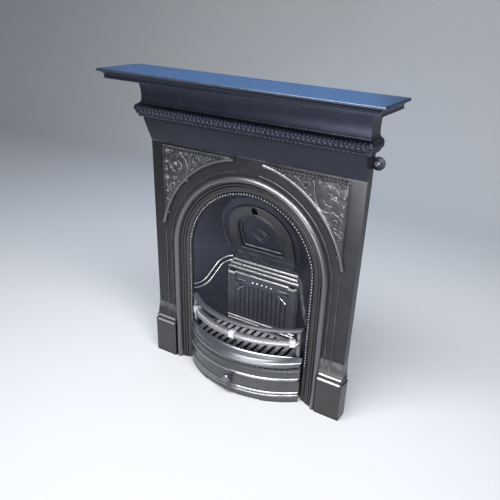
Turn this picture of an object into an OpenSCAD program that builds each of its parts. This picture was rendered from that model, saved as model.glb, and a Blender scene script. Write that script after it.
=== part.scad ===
// Arched cast iron bedroom fireplace: mantel shelf, moulded front with spandrel
// panels, arched insert, splayed fire chamber with a register flap, and the loose
// grate, fire bars, ash cover and ash pan.
// Millimetres. X across, Y from the room towards the chimney, Z up from the hearth.
// While a piece is drawn, y = 0 is the flat front face of the main casting; placed()
// then moves it so that the origin is the middle of the whole object's footprint.

/* [Overall] */
// Height from the hearth to the top of the shelf
overall_h = 1105; // [1060:5:1180]
// Width of the main casting
body_w = 810; // [780:5:860]
// Depth of the main casting, from its front face to the wall
body_depth = 35; // [30:1:60]
// Thickness of the cast skin
skin = 7; // [5:0.5:9]
// Clearance between castings that are only set side by side
joint_gap = 0.3; // [0.2:0.05:0.6]

/* [Mantel shelf] */
// Width of the shelf
shelf_w = 965; // [930:5:1100]
// Depth of the shelf, from the wall to its front edge
shelf_depth = 192; // [170:2:230]
// Height of the shelf at its edge
shelf_h = 30; // [24:1:40]
// Thickness of the flat top slab
slab_t = 9; // [6:1:12]
// How far the fascia sits in from the slab's edge
fascia_inset = 17; // [12:1:24]

/* [Cornice] */
// Height of the cornice casting
cornice_h = 120; // [110:1:150]
// How far the top of the cove stands forward of the front face
cove_top_out = 50; // [46:1:60]
// How far the hollow of the cove stands forward
cove_out = 36; // [34:1:42]
// How far the enriched roll stands forward
roll_out = 57; // [52:1:64]
// Radius of the enriched roll
roll_r = 18; // [14:0.5:20]
// How far the top of the cove stands out at the sides
cove_top_side = 12; // [9:0.5:18]
// How far the hollow of the cove stands out at the sides
cove_side = 4; // [2:0.5:6]
// How far the roll stands out at the sides
roll_side = 21; // [18:0.5:26]
// Height of the sloping frieze below the cornice
frieze_h = 74; // [60:1:90]
// How far the frieze leans forward
frieze_out = 35; // [26:1:40]
// Height of the plain fillet above the frieze
fillet_h = 15; // [11:1:24]

/* [Arch] */
// Radius of the clear arched opening
arch_r = 247; // [235:1:252]
// Height of plain casting between the insert's crown and the frieze
crown_gap = 84; // [76:1:100]
// Width of the moulded face of the insert
insert_face = 45; // [38:1:48]
// Width of the polished half-round band round the insert
band_w = 20; // [16:1:22]
// Radius of the fine bead outside the band
fine_bead_r = 331; // [328:1:340]
// Width of the fine bead
fine_bead_w = 5; // [3:0.5:7]
// Radius of the curved edge of the spandrel panels
spandrel_r = 363; // [355:1:372]
// Width of the raised edging of the spandrel panels
spandrel_edge = 9; // [6:0.5:12]
// How far the spandrel panels stand forward
spandrel_t = 2.5; // [1.5:0.5:4]
// How far the edging of the spandrel panels stands forward
spandrel_edge_t = 5; // [4.5:0.5:8]
// Half the width of the plain space between the spandrel panels
spandrel_in = 58; // [50:1:70]
// Margin from the casting's side to the spandrel panels
spandrel_margin = 50; // [44:1:56]

/* [Plinth] */
// Width of each plinth block
plinth_w = 89; // [84:1:92]
// How far the plinth stands forward
plinth_out = 16.5; // [12:0.5:24]
// How far the plinth stands out at the side
plinth_side = 9; // [7:0.5:14]
// Height of the plain plinth block
plinth_h = 142; // [120:1:170]
// Height of the weathered slope above the plinth's beads
plinth_slope = 62; // [45:1:80]
// Radius of the plinth's lower bead
plinth_bead = 6; // [4:0.5:7]

/* [Fixing lugs] */
// Distance of the lug hole outside the casting's side
lug_out = 13; // [12:0.5:18]
// Drop from the underside of the cornice to the lug holes
lug_drop = 37; // [28:1:60]
// Radius of the lug
lug_r = 20; // [16:1:24]
// Radius of the lug hole
lug_hole_r = 4.5; // [3:0.5:6]
// Thickness of the lug
lug_t = 6; // [5:0.5:9]

/* [Fire chamber] */
// Depth of the insert casting's back face behind the front face
insert_back = 20; // [18:0.5:24]
// Depth of the chamber behind the insert
chamber_depth = 95; // [85:1:110]
// Width of the fireback
back_w = 307; // [290:1:330]
// Thickness of the cheeks
cheek_t = 8; // [6:0.5:10]
// Thickness of the bolting flanges
flange_t = 6; // [5:0.5:8]
// Width of the bolting flanges
flange_w = 28; // [24:1:32]
// Drop from the springing of the arch to the top of the fireback
back_drop = 95; // [85:1:110]
// Thickness of the fireback
fireback_t = 10; // [8:0.5:14]
// Height of the reeded throat ledge
ledge_h = 52; // [44:1:60]
// Run of the throat ledge's reeded slope
ledge_run = 23; // [18:1:30]
// Depth of the whole throat ledge
ledge_depth = 50; // [44:1:60]
// Thickness of the throat ledge's wall
ledge_t = 11; // [8:1:14]
// Number of reeds on the throat ledge
ledge_reeds = 4; // [3:1:5]
// Radius of the throat ledge's reeds
ledge_reed_r = 5; // [3.5:0.5:5.5]
// Number of upright reeds on the fireback
back_reeds = 11; // [7:2:13]
// Pitch of the upright reeds
reed_pitch = 20; // [17:0.5:20.5]
// Radius of the upright reeds
reed_r = 5.5; // [3:0.5:7]
// Height of the fireback's lowest bead
back_bead_z = 196; // [194:1:202]
// Radius of the fireback's beads
back_bead_r = 4.5; // [3:0.5:5.5]
// Distance between the fireback's two lowest beads
back_bead_gap = 12; // [10:0.5:14]
// Drop from the top of the fireback to the tops of its reeds
reed_drop = 50; // [44:1:60]
// Drop from the top of the fireback to its row of studs
stud_drop = 31; // [24:1:36]
// Radius of the studs
stud_r = 4; // [2.5:0.5:5]
// Length of the short bars beside the studs
stud_bar_l = 50; // [40:1:54]
// Width of the cast corner pieces below the short bars
corner_w = 34; // [26:1:40]
// Width of the rail that carries the back of the grate
rail_w = 200; // [160:10:240]
// How far that rail stands forward of the fireback
rail_out = 17; // [14:0.5:20]
// Radius of the curved ends of the cheek's swept reeds
sweep_r = 64; // [58:1:70]
// Angle of the middle of the swept reeds
sweep_angle = 55; // [48:1:60]
// Length of the straight middle of the swept reeds
sweep_straight = 62; // [54:1:70]
// Distance between the two swept reeds
sweep_gap = 18; // [14:1:24]
// Drop from the throat ledge to the front end of the upper swept reed
sweep_drop = 105; // [98:1:112]
// Radius of the swept reeds
sweep_reed = 4; // [2.5:0.5:4.5]

/* [Register] */
// Angle by which the register plate leans forward
lean = 21.7; // [19:0.1:24]
// Thickness of the register plate
plate_t = 6; // [5:0.5:8]
// Width of the raised field round the flap
field_w = 44; // [40:1:46]
// How far the raised field stands forward
field_t = 3; // [2:0.5:4]
// How far the raised field reaches below the flap
field_foot = 8; // [6:1:12]
// Half the width of the flap opening
flap_r = 88; // [80:1:94]
// Height up the plate of the middle of the flap's arch
flap_v = 138; // [130:1:146]
// Height up the plate of the flap opening's lower edge
flap_low = 64; // [58:1:72]
// How far the flap laps behind the plate
flap_lap = 7; // [5:0.5:10]
// Thickness of the flap's lapping rim
flap_t = 5; // [4:0.5:6]
// Clearance round the flap in its opening
flap_gap = 2; // [1.5:0.25:3]
// Half the width of the raised lozenge
lozenge_x = 36; // [26:1:44]
// Half the height of the raised lozenge
lozenge_v = 35; // [26:1:42]
// Width of the poker slot
slot_w = 22; // [16:1:26]
// Length of the poker slot
slot_l = 42; // [36:1:46]
// Radius of the flap's hinge rod
rod_r = 4; // [3:0.5:5]
// Radial clearance of the flap's knuckles on the rod
rod_gap = 0.06; // [0.02:0.01:0.1]
// Width of each hinge knuckle and ear
knuckle_w = 14; // [10:1:18]

/* [Grate and fire bars] */
// Height of the top of the bottom grate
grate_z = 180; // [176:1:184]
// Thickness of the bottom grate
grate_t = 14; // [10:1:16]
// Pitch of the grate's slots
slot_pitch = 29; // [24:1:34]
// Width of the grate's slots
grate_slot = 13; // [8:1:16]
// Number of slots in the grate
grate_slots = 13; // [9:2:13]
// Margin of solid metal round the grate's slots
grate_margin = 15; // [12:1:20]
// How far the lip's rear edge bows out in front of the front face
lip_back_bow = 78; // [72:1:82]
// How far the lip's round nose bows out
lip_bow = 108; // [102:1:114]
// Height of the top of the lip
lip_z = 203; // [200:1:206]
// Height of the underside of the lip
lip_low = 149; // [146:1:152]
// How far the top bar bows out
bar_bow = 76; // [72:1:80]
// Height of the middle of the top bar
bar_z = 300; // [290:1:308]
// Radius of the top bar
bar_r = 7.5; // [5:0.5:9]
// Height of the underside of the lower bar
band_z = 244; // [240:1:250]
// Depth of the lower bar from back to front
band_depth = 24; // [18:1:28]
// Height of the lower bar
band_h = 16; // [12:1:20]
// Width and depth of the end posts of the fire bars
post = 12; // [9:1:13]
// Distance of the end posts from the middle
post_x = 226; // [222:1:228]

/* [Ash cover and pan] */
// How far the ash cover bows out
cover_bow = 93; // [84:1:98]
// Thickness of the ash cover
cover_t = 7; // [5:0.5:9]
// Gap between the top of the ash cover and the lip
cover_gap = 0.3; // [0.2:0.1:3]
// Height of the ash cover's feet
foot_h = 8; // [5:1:12]
// Half the width of the space between the feet
foot_x = 120; // [100:5:150]
// Height of the ash cover's upper bead
cover_bead_z = 102; // [98:1:110]
// Height of the ash cover's lower pair of beads
cover_low_z = 36; // [30:1:44]
// Radius of the ash cover's upper bead
cover_bead = 5; // [3:0.5:6]
// Height of the knob
knob_z = 80; // [66:1:86]
// Radius of the knob's head
knob_r = 15; // [10:0.5:17]
// Length of the knob
knob_l = 34; // [22:1:40]
// Width of the air notches in the cover's top edge
notch_w = 12; // [8:1:14]
// Depth of the air notches
notch_h = 4; // [3:0.5:6]
// Width of the ash pan
pan_w = 280; // [240:5:290]
// Height of the ash pan
pan_h = 60; // [45:1:75]
// Front of the ash pan, in front of the front face
pan_front = 45; // [35:1:50]
// Thickness of the ash pan's sheet
pan_t = 2; // [1.5:0.5:3]
// Width of the ash pan's turned-out rim
pan_rim = 3; // [2:0.5:6]
// Radius of the ash pan's ring handle
pan_ring_r = 22; // [14:1:24]

/* [Fasteners] */
// Radius of the bolt shanks
bolt_r = 4; // [3:0.5:4.5]
// Clearance round a shank in its hole
bolt_gap = 0.3; // [0.2:0.1:0.5]
// Distance across the corners of the bolt heads
head_d = 15; // [12:0.5:17]
// Height of the bolt heads
head_h = 5.5; // [4:0.5:7]

/* [Hidden] */

$fn = 64;
far = 3000; // longer than anything that it cuts
eps = 0.01; // overlap of faces that are joined

// Heights of the main stages
half_w = body_w / 2;
cornice_z = overall_h - shelf_h - cornice_h;
fillet_z = cornice_z - fillet_h;
frieze_z = fillet_z - frieze_h;
lug_z = cornice_z - lug_drop;

// Fore and aft
shelf_front = shelf_depth - body_depth;
back_y = insert_back + chamber_depth;
rear_y = back_y + ledge_depth;
middle_y = (rear_y - shelf_front) / 2;

// Rings of the arch
insert_r = arch_r + insert_face;
opening_r = insert_r + joint_gap;
spring_z = frieze_z - crown_gap - insert_r;
band_r = insert_r + band_w / 2 + 3;
flange_r = band_r + band_w / 2 + 3;
seat_y = skin + flange_t;

// The splayed sides of the fire chamber
front_half = arch_r - 2;
back_half = back_w / 2;
splay = (front_half - back_half) / chamber_depth;
splay_len = sqrt(1 + splay * splay);
splay_angle = atan(splay);
fireback_h = spring_z - back_drop;
ledge_z = fireback_h + ledge_h;
sweep_z = ledge_z - sweep_drop;

// The lip, the bars and the cover are arcs through the jambs
bow_half = arch_r - 2;
bars_back = 24; // where the bars' ends lie behind the front face
bars_clear = sweep_reed * splay_len + 3; // from the cheeks, past their reeds
nose_end = -5;
lip_seat = grate_z - grate_t;
ledge_bar = 12; // thickness of the grate's supporting ledges
tab_in = 205; // inner end of the lip's resting tabs
tab_y = 48; // rear end of the lip's resting tabs
lip_bolt_x = 217;
lip_bolt_y = 36;
grate_half = tab_in - 1;
cover_top = lip_low - cover_gap;

// The register plate's own frame stands on the throat ledge
plate_foot_y = back_y + ledge_run + 2;
plate_top = (spring_z + front_half - ledge_z) / cos(lean);
slot_v = flap_v + flap_r + 17;
rod_v = flap_low - 12;
rod_w = plate_t + flap_t + rod_r + 3;
ear_x = flap_r - 2;

// Bolt places
arch_bolt_angles = [25, 90, 155];
leg_bolt_zs = [100, spring_z - 160];
chamber_r = arch_r + 15;
chamber_bolt_angles = [30, 90, 150];
cheek_bolt_zs = [60, spring_z / 2, spring_z - 60];
plate_bolt_zs = [spring_z + 70, spring_z + 190];
shelf_bolt_xs = [-300, -110, 110, 300];
cornice_bolt_xs = [-340, -120, 120, 340];

iron = [0.16, 0.17, 0.19];
polished = [0.55, 0.57, 0.60];
steel = [0.42, 0.43, 0.45];

// Radius of an arc that meets the jambs at y_end and bows out to -bow
function arc_r(bow, y_end) =
    let (s = bow + y_end) (bow_half * bow_half + s * s) / (2 * s);
// Distance behind the front face of that arc's centre
function arc_cy(bow, y_end) = arc_r(bow, y_end) - bow;
// Half the width inside the cheeks at depth y
function cheek_x(y) = front_half - splay * (max(y, insert_back) - insert_back);
// Depth of the register plate's front face at height z
function plate_y(z) = plate_foot_y - tan(lean) * (z - ledge_z);
// Half the width of the hood's bolting flange, at its middle, at height z
function hood_flange_x(z) =
    let (r = cheek_x(plate_y(z)) + flange_w / 2) sqrt(r * r - pow(z - spring_z, 2));

// ---- placing helpers ----

module placed() translate([0, -middle_y, 0]) children();

module both_sides() {
    children();
    mirror([1, 0, 0]) children();
}

// An outline in (y, z) drawn out along X, centred
module along_x(length) rotate([90, 0, 90]) linear_extrude(length, center = true) children();

// An outline in (x, z) drawn out from y0 to y1
module along_y(y0, y1) translate([0, y1, 0]) rotate([90, 0, 0]) linear_extrude(y1 - y0) children();

// A moulding section, given as radius and height forward, taken round the arch
module round_arch(a0 = 0, a1 = 180)
    translate([0, 0, spring_z]) rotate([90, -a0, 0]) rotate_extrude(angle = a1 - a0) children();

// The same section taken down one jamb to height z0
module down_leg(z0 = 0)
    translate([0, 0, z0]) mirror([0, 1, 0]) linear_extrude(spring_z - z0) children();

module arch_run(z0 = 0) {
    round_arch() children();
    both_sides() down_leg(z0) children();
}

// The upper half of a disc, sunk a little so that it joins the face behind it
module half_round(w) intersection() {
    circle(w / 2);
    translate([-w, -1]) square([2 * w, w]);
}

// Filled outline of the arched opening
module arch_outline(r) {
    translate([0, spring_z]) circle(r);
    translate([-r, -eps]) square([2 * r, spring_z + eps]);
}

// Plan of the space inside the jambs and cheeks, drawn in by g all round
module inside_plan(g) polygon([
    [-front_half + g, -far], [front_half - g, -far], [front_half - g, insert_back],
    [cheek_x(rear_y) - g, rear_y], [-cheek_x(rear_y) + g, rear_y], [-front_half + g, insert_back]]);

// The register plate's frame: X across, Y through the plate, Z up its face
module on_plate() translate([0, plate_foot_y, ledge_z]) rotate([lean, 0, 0]) children();

// Everything in front of the register plate's front face
module before_plate() on_plate() translate([-far, -2 * far, -far]) cube([2 * far, 2 * far, 3 * far]);

// Shank of the given length along Z, with a hexagonal head beyond it
module bolt(shank) {
    cylinder(r = bolt_r, h = shank + head_h / 2);
    translate([0, 0, shank]) cylinder(d = head_d, h = head_h, $fn = 6);
}

// ---- main casting ----

// Section of a plinth: standing out by out, beads and a weathered slope on top
module plinth_edge(out) {
    low = out - plinth_bead / 2;
    square([out, plinth_h]);
    translate([0, plinth_h - eps]) square([low, 2 * plinth_bead]);
    translate([low, plinth_h + plinth_bead]) circle(plinth_bead * 0.75);
    polygon([[0, plinth_h + 2 * plinth_bead - eps], [out * 0.5, plinth_h + 2 * plinth_bead - eps],
        [out * 0.5, plinth_h + 4 * plinth_bead], [0, plinth_h + 4 * plinth_bead + plinth_slope]]);
    translate([out * 0.5, plinth_h + 4 * plinth_bead]) circle(plinth_bead * 0.7);
}

module plinth() intersection() {
    translate([half_w, 0, 0]) rotate([90, 0, 90]) translate([0, 0, plinth_side - plinth_w])
        linear_extrude(plinth_w + plinth_bead) {
            mirror([1, 0]) plinth_edge(plinth_out);
            translate([-eps, 0]) square([body_depth + eps, plinth_h + 4 * plinth_bead + plinth_slope]);
        }
    along_y(-plinth_out - plinth_bead, body_depth) translate([half_w, 0]) {
        plinth_edge(plinth_side);
        translate([plinth_side - plinth_w - 1, 0])
            square([plinth_w - plinth_side + 1 + eps, far]);
    }
}

// C-shaped section of the sloping frieze and its fillet, open to the wall
module frieze_section() difference() {
    polygon([[0, frieze_z - eps], [-frieze_out, fillet_z], [-frieze_out, cornice_z],
        [body_depth, cornice_z], [body_depth, frieze_z - eps]]);
    polygon([[skin, frieze_z - 1], [skin - frieze_out, fillet_z - 1], [skin - frieze_out, cornice_z - skin],
        [body_depth + 1, cornice_z - skin], [body_depth + 1, frieze_z - 1]]);
}

module frieze_end() polygon([[0, frieze_z - eps], [-frieze_out, fillet_z], [-frieze_out, cornice_z],
    [body_depth, cornice_z], [body_depth, frieze_z - eps]]);

// Outline of a spandrel panel, drawn in by m all round
module spandrel_outline(m) difference() {
    translate([spandrel_in + m, spring_z])
        square([half_w - spandrel_margin - spandrel_in - 2 * m, frieze_z - 6 - m - spring_z]);
    translate([0, spring_z]) circle(spandrel_r + m);
}

// Raised panel with a bolder edging
module spandrel_panel() {
    along_y(-spandrel_t, eps) spandrel_outline(0);
    along_y(-spandrel_edge_t, eps) difference() {
        spandrel_outline(0);
        spandrel_outline(spandrel_edge);
    }
}

module lug() translate([half_w + lug_out, body_depth, lug_z]) rotate([90, 0, 0])
    cylinder(r = lug_r, h = lug_t);

module insert_bolt_places() {
    for (a = arch_bolt_angles)
        translate([band_r * cos(a), 0, spring_z + band_r * sin(a)]) children();
    both_sides() for (z = leg_bolt_zs) translate([band_r, 0, z]) children();
}

// Hollows behind a plinth and its slope, open to the wall and to the hearth
module plinth_hollow() {
    inner_x = half_w + plinth_side - plinth_w + skin;
    outer_x = half_w + plinth_side - skin;
    slope_top = plinth_h + 4 * plinth_bead + plinth_slope;
    translate([inner_x, skin - plinth_out, -1])
        cube([outer_x - inner_x, far, plinth_h - skin + 1]);
    translate([inner_x, skin, -1]) cube([half_w - skin - inner_x, far, slope_top - skin + 1]);
}

module front_casting() color(iron) placed() difference() {
    union() {
        translate([-half_w, 0, 0]) cube([body_w, skin, frieze_z]);
        along_x(body_w) frieze_section();
        both_sides() {
            translate([half_w - skin, 0, 0]) cube([skin, body_depth, frieze_z]);
            translate([half_w - skin / 2, 0, 0]) along_x(skin) frieze_end();
            plinth();
            spandrel_panel();
            lug();
            // upright line that carries the panel's side down to the plinth
            translate([half_w - spandrel_margin, 0, plinth_h]) mirror([0, 1, 0])
                linear_extrude(spring_z + 60 - plinth_h) half_round(fine_bead_w);
            round_arch(0, 83) translate([fine_bead_r, 0]) half_round(fine_bead_w);
            down_leg(plinth_h) translate([fine_bead_r, 0]) half_round(fine_bead_w);
        }
        arch_run() translate([band_r, 0]) half_round(band_w);
    }
    along_y(-far, far) arch_outline(opening_r);
    both_sides() plinth_hollow();
    both_sides() translate([half_w + lug_out, 0, lug_z]) rotate([90, 0, 0])
        cylinder(r = lug_hole_r, h = 4 * body_depth, center = true);
    insert_bolt_places() rotate([90, 0, 0])
        translate([0, 0, -skin - eps]) cylinder(r = bolt_r + bolt_gap, h = skin + 3);
    for (x = cornice_bolt_xs) translate([x, 0, cornice_z - 2 * skin])
        cylinder(r = bolt_r + bolt_gap, h = 4 * skin);
}

// ---- cornice and shelf ----

// Section of the cornice: neck, enriched roll, and a cove rising to the shelf
module cornice_edge(top, cove, roll, neck) {
    roll_z = roll_r + 4;
    cove_z = roll_z + roll_r + 4;
    low_z = cove_z + 22;
    rise = cornice_h - low_z;
    run = top - cove;
    cove_radius = (run * run + rise * rise) / (2 * run);
    square([neck, cornice_h]);
    translate([roll - roll_r, roll_z]) circle(roll_r);
    translate([0, roll_z - roll_r]) square([roll - roll_r, 2 * roll_r]);
    difference() {
        translate([0, cove_z - eps]) square([top, cornice_h - cove_z + eps]);
        translate([cove + cove_radius, low_z]) circle(cove_radius);
    }
    translate([0, cove_z - 5]) square([cove + 4, 5]);
}

module cornice() color(iron) placed() difference() {
    translate([0, 0, cornice_z]) intersection() {
        along_x(far) {
            mirror([1, 0]) cornice_edge(cove_top_out, cove_out, roll_out, frieze_out);
            translate([-eps, 0]) square([body_depth + eps, cornice_h]);
        }
        along_y(-far, body_depth) both_sides() translate([half_w, 0]) {
            cornice_edge(cove_top_side, cove_side, roll_side, 1);
            translate([-half_w - eps, 0]) square([half_w + 2 * eps, cornice_h]);
        }
    }
    translate([-half_w + skin, skin - frieze_out, cornice_z + skin])
        cube([body_w - 2 * skin, far, cornice_h - 2 * skin]);
    for (x = cornice_bolt_xs) translate([x, 0, cornice_z - skin])
        cylinder(r = bolt_r + bolt_gap, h = 3 * skin);
    for (x = shelf_bolt_xs) translate([x, 0, cornice_z + cornice_h - 2 * skin])
        cylinder(r = bolt_r + bolt_gap, h = 3 * skin);
}

// Section of the shelf's edge, from the wall side outwards
module shelf_edge(reach) {
    inner = reach - fascia_inset;
    fascia = shelf_h - slab_t;
    translate([0, fascia]) square([reach - slab_t / 2, slab_t]);
    translate([reach - slab_t / 2, fascia + slab_t / 2]) circle(slab_t / 2);
    square([inner, fascia + eps]);
    difference() {
        translate([inner - eps, fascia * 0.4]) square([fascia * 0.6, fascia * 0.6 + eps]);
        translate([inner + fascia * 0.6, fascia * 0.4]) circle(fascia * 0.6);
    }
}

module mantel_shelf() color(iron) placed() difference() {
    translate([0, 0, overall_h - shelf_h]) intersection() {
        along_x(far) {
            mirror([1, 0]) shelf_edge(shelf_front);
            translate([-eps, 0]) square([body_depth + eps, shelf_h]);
        }
        along_y(-far, body_depth) both_sides() shelf_edge(shelf_w / 2);
    }
    difference() {
        translate([fascia_inset + skin - shelf_w / 2, fascia_inset + skin - shelf_front,
            overall_h - shelf_h - 1])
            cube([shelf_w - 2 * fascia_inset - 2 * skin,
                shelf_depth - fascia_inset - 2 * skin, shelf_h - slab_t + 1]);
        for (x = shelf_bolt_xs) translate([x - 2 * bolt_r - skin / 2, -far, 0])
            cube([4 * bolt_r + skin, 2 * far, far]);
    }
    for (x = shelf_bolt_xs) translate([x, 0, overall_h - shelf_h - 1])
        cylinder(r = bolt_r + bolt_gap, h = shelf_h - slab_t);
}

// ---- arched insert ----

// Stepped section of the insert: pearl rail, hollow, two reeds and a hidden flange
module insert_section() {
    polygon([[flange_r, -skin], [insert_r, -skin], [insert_r, -3], [insert_r - 10, -5],
        [insert_r - 21, -8], [arch_r + 12, -12], [arch_r, -14], [arch_r, -insert_back],
        [arch_r + flange_w, -insert_back], [arch_r + flange_w + 4, -seat_y], [flange_r, -seat_y]]);
    translate([insert_r - 5, -4]) circle(4.5);
    translate([insert_r - 15.5, -7]) circle(4);
    translate([arch_r + 5, -13.5]) circle(4.5);
}

module chamber_bolt_places() {
    for (a = chamber_bolt_angles)
        translate([chamber_r * cos(a), insert_back, spring_z + chamber_r * sin(a)]) children();
    both_sides() for (z = cheek_bolt_zs) translate([chamber_r, insert_back, z]) children();
}

module insert_frame() color(iron) placed() difference() {
    arch_run() insert_section();
    insert_bolt_places() rotate([90, 0, 0])
        translate([0, 0, -2 * insert_back]) cylinder(r = bolt_r + bolt_gap, h = 3 * insert_back);
    chamber_bolt_places() rotate([90, 0, 0])
        translate([0, 0, -1]) cylinder(r = bolt_r + bolt_gap, h = flange_t);
}

// ---- fire chamber ----

// Splayed half-cone between the insert's arch and the register plate
module hood_cone(extra) translate([0, 0, spring_z]) rotate([90, 0, 0]) rotate_extrude(angle = 180)
    polygon([[0, -insert_back], [front_half + extra, -insert_back],
        [cheek_x(rear_y) + extra, -rear_y], [0, -rear_y]]);

module hood() color(iron) placed() difference() {
    union() {
        intersection() {
            union() {
                hood_cone(cheek_t * splay_len);
                intersection() {
                    hood_cone(flange_w);
                    on_plate() translate([-far, -flange_t, -far]) cube([2 * far, flange_t, 3 * far]);
                }
            }
            before_plate();
        }
        round_arch() translate([front_half, -insert_back - flange_t]) square([flange_w, flange_t]);
    }
    hood_cone(0);
    chamber_bolt_places() rotate([90, 0, 0])
        translate([0, 0, -2 * flange_t]) cylinder(r = bolt_r + bolt_gap, h = 3 * flange_t);
    plate_bolt_places() rotate([90, 0, 0])
        translate([0, 0, -plate_t]) cylinder(r = bolt_r + bolt_gap, h = 3 * plate_t);
}

// Sector of a ring between two angles
module ring_sector(r, w, a0, a1) intersection() {
    difference() {
        circle(r + w);
        circle(r - w);
    }
    polygon([[0, 0], 2 * r * [cos(a0), sin(a0)], 2 * r * [cos(a1), sin(a1)]]);
}

// S-shaped reed, off mm outside the upper one round the first curve
module sweep_outline(off) {
    r1 = sweep_r + off;
    r2 = sweep_r - off;
    up = [cos(sweep_angle), sin(sweep_angle)];
    out = [sin(sweep_angle), -cos(sweep_angle)];
    c1 = [0, sweep_z + sweep_r];
    c2 = c1 + r1 * out + sweep_straight * up + r2 * out;
    translate(c1) ring_sector(r1, sweep_reed, -90, sweep_angle - 90);
    translate(c1 + r1 * out) rotate(sweep_angle)
        translate([0, -sweep_reed]) square([sweep_straight, 2 * sweep_reed]);
    translate(c2) ring_sector(r2, sweep_reed, 90, sweep_angle + 90);
}

module cheek() {
    outer = cheek_t * splay_len;
    end_y = rear_y - 12;
    difference() {
        union() {
            linear_extrude(spring_z) polygon([[front_half, insert_back],
                [front_half + flange_w, insert_back], [front_half + flange_w, insert_back + flange_t],
                [cheek_x(insert_back + flange_t) + outer, insert_back + flange_t],
                [cheek_x(end_y) + outer, end_y], [cheek_x(end_y), end_y]]);
            // bracket that carries the lip and the grate
            translate([0, 0, lip_seat - 2 * ledge_bar]) linear_extrude(ledge_bar) polygon([
                [cheek_x(tab_y) + 1, tab_y], [cheek_x(insert_back) + 1, insert_back + 1],
                [cheek_x(insert_back) - 26, insert_back + 1], [cheek_x(tab_y) - 26, tab_y]]);
            // swept reeds, drawn on the splayed face
            translate([front_half, insert_back, 0]) rotate([0, 0, splay_angle]) rotate([90, 0, 90])
                translate([0, 0, -sweep_reed]) linear_extrude(sweep_reed + 1) {
                    sweep_outline(0);
                    sweep_outline(sweep_gap);
                }
        }
        difference() {
            translate([-far, 0, ledge_z]) cube([2 * far, far, far]);
            before_plate();
        }
        for (z = cheek_bolt_zs) translate([chamber_r, insert_back, z]) rotate([90, 0, 0])
            cylinder(r = bolt_r + bolt_gap, h = 3 * flange_t, center = true);
        translate([lip_bolt_x, lip_bolt_y, lip_seat - 2 * ledge_bar - 1])
            cylinder(r = bolt_r + bolt_gap, h = ledge_bar + 2);
    }
}

module right_cheek() color(iron) placed() cheek();
module left_cheek() color(iron) placed() mirror([1, 0, 0]) cheek();

module fireback() color(iron) placed() {
    border_x = (back_reeds + 1) * reed_pitch / 2;
    edge_x = back_half - back_bead_r - 1.5;
    top_bead_z = fireback_h - back_bead_r - 0.5;
    reed_z0 = back_bead_z + 2 * back_bead_r + 6;
    reed_z1 = fireback_h - reed_drop;
    stud_z = fireback_h - stud_drop;
    corner_z = reed_z1 + 2 * back_bead_r;
    border_t = back_bead_r - 1.5;
    block_h = 2 * back_bead_r + 1;
    intersection() {
        linear_extrude(fireback_h) inside_plan(joint_gap);
        union() {
            translate([-far, back_y, 0]) cube([2 * far, fireback_t, far]);
            for (i = [0 : back_reeds - 1])
                translate([(i - (back_reeds - 1) / 2) * reed_pitch, back_y, reed_z0])
                    cylinder(r = reed_r, h = reed_z1 - reed_z0);
            for (z = [back_bead_z, back_bead_z - back_bead_gap, top_bead_z])
                translate([-edge_x, back_y, z]) rotate([0, 90, 0])
                    cylinder(r = back_bead_r, h = 2 * edge_x);
            for (i = [-2 : 2]) translate([i * reed_pitch, back_y, stud_z]) sphere(stud_r);
            both_sides() {
                translate([border_x, back_y - border_t, reed_z0])
                    cube([edge_x - border_x, border_t + eps, top_bead_z - reed_z0]);
                translate([border_x - stud_bar_l, back_y, stud_z]) rotate([0, 90, 0])
                    cylinder(r = stud_r * 0.75, h = stud_bar_l);
                translate([border_x - back_bead_r, back_y - 2 * back_bead_r, top_bead_z - block_h / 2])
                    cube([edge_x - border_x, 2 * back_bead_r + eps, block_h]);
                along_y(back_y - border_t - 1, back_y + eps) polygon([[border_x, corner_z],
                    [border_x - corner_w, corner_z], [border_x, corner_z - corner_w]]);
            }
            // rail under the back of the grate
            translate([-rail_w / 2, back_y - rail_out, lip_seat - ledge_bar])
                cube([rail_w, rail_out + eps, ledge_bar]);
        }
    }
}

module throat_ledge() color(polished) placed() intersection() {
    linear_extrude(far) inside_plan(joint_gap);
    union() {
        along_x(2 * back_half) polygon([[back_y, fireback_h], [back_y, fireback_h + 3],
            [back_y + ledge_run, ledge_z], [rear_y, ledge_z], [rear_y, ledge_z - ledge_t],
            [back_y + ledge_run + ledge_t, ledge_z - ledge_t], [back_y + ledge_t, fireback_h]]);
        for (i = [0 : ledge_reeds - 1]) {
            t = (i + 0.5) / ledge_reeds;
            translate([-back_half, back_y + 1 + ledge_run * t, fireback_h + 3 + (ledge_h - 6) * t])
                rotate([0, 90, 0]) cylinder(r = ledge_reed_r, h = 2 * back_half);
        }
    }
}

// ---- register plate and flap ----

module plate_bolt_places() for (z = plate_bolt_zs) both_sides()
    on_plate() translate([hood_flange_x(z), 0, (z - ledge_z) / cos(lean)]) children();

// Outline on the register plate with a half-round top of radius r, from height low up
module plate_arch(r, low) {
    intersection() {
        translate([0, flap_v]) circle(r);
        translate([-2 * r, flap_v]) square(4 * r);
    }
    translate([-r, low]) square([2 * r, flap_v - low]);
}

// Arched outline of the flap opening, grown by g
module flap_outline(g) plate_arch(flap_r + g, flap_low - g);

module slot_outline(w, l) for (s = [-1, 1]) {
    translate([0, slot_v + s * (l - w) / 2]) circle(w / 2);
    translate([-w / 2, slot_v - (l - w) / 2]) square([w, l - w]);
}

// Arched field round the flap, standing a little forward of the plate
module field_outline() plate_arch(flap_r + field_w, flap_low - field_foot);

module plate_outline() intersection() {
    union() {
        translate([0, (spring_z - ledge_z) / cos(lean)]) circle(front_half / cos(lean));
        translate([-cheek_x(plate_foot_y), 0]) square([2 * cheek_x(plate_foot_y), plate_top / 2]);
    }
    translate([-hood_flange_x(plate_bolt_zs[0]) - 12, 0])
        square([2 * hood_flange_x(plate_bolt_zs[0]) + 24, plate_top + far]);
}

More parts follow.
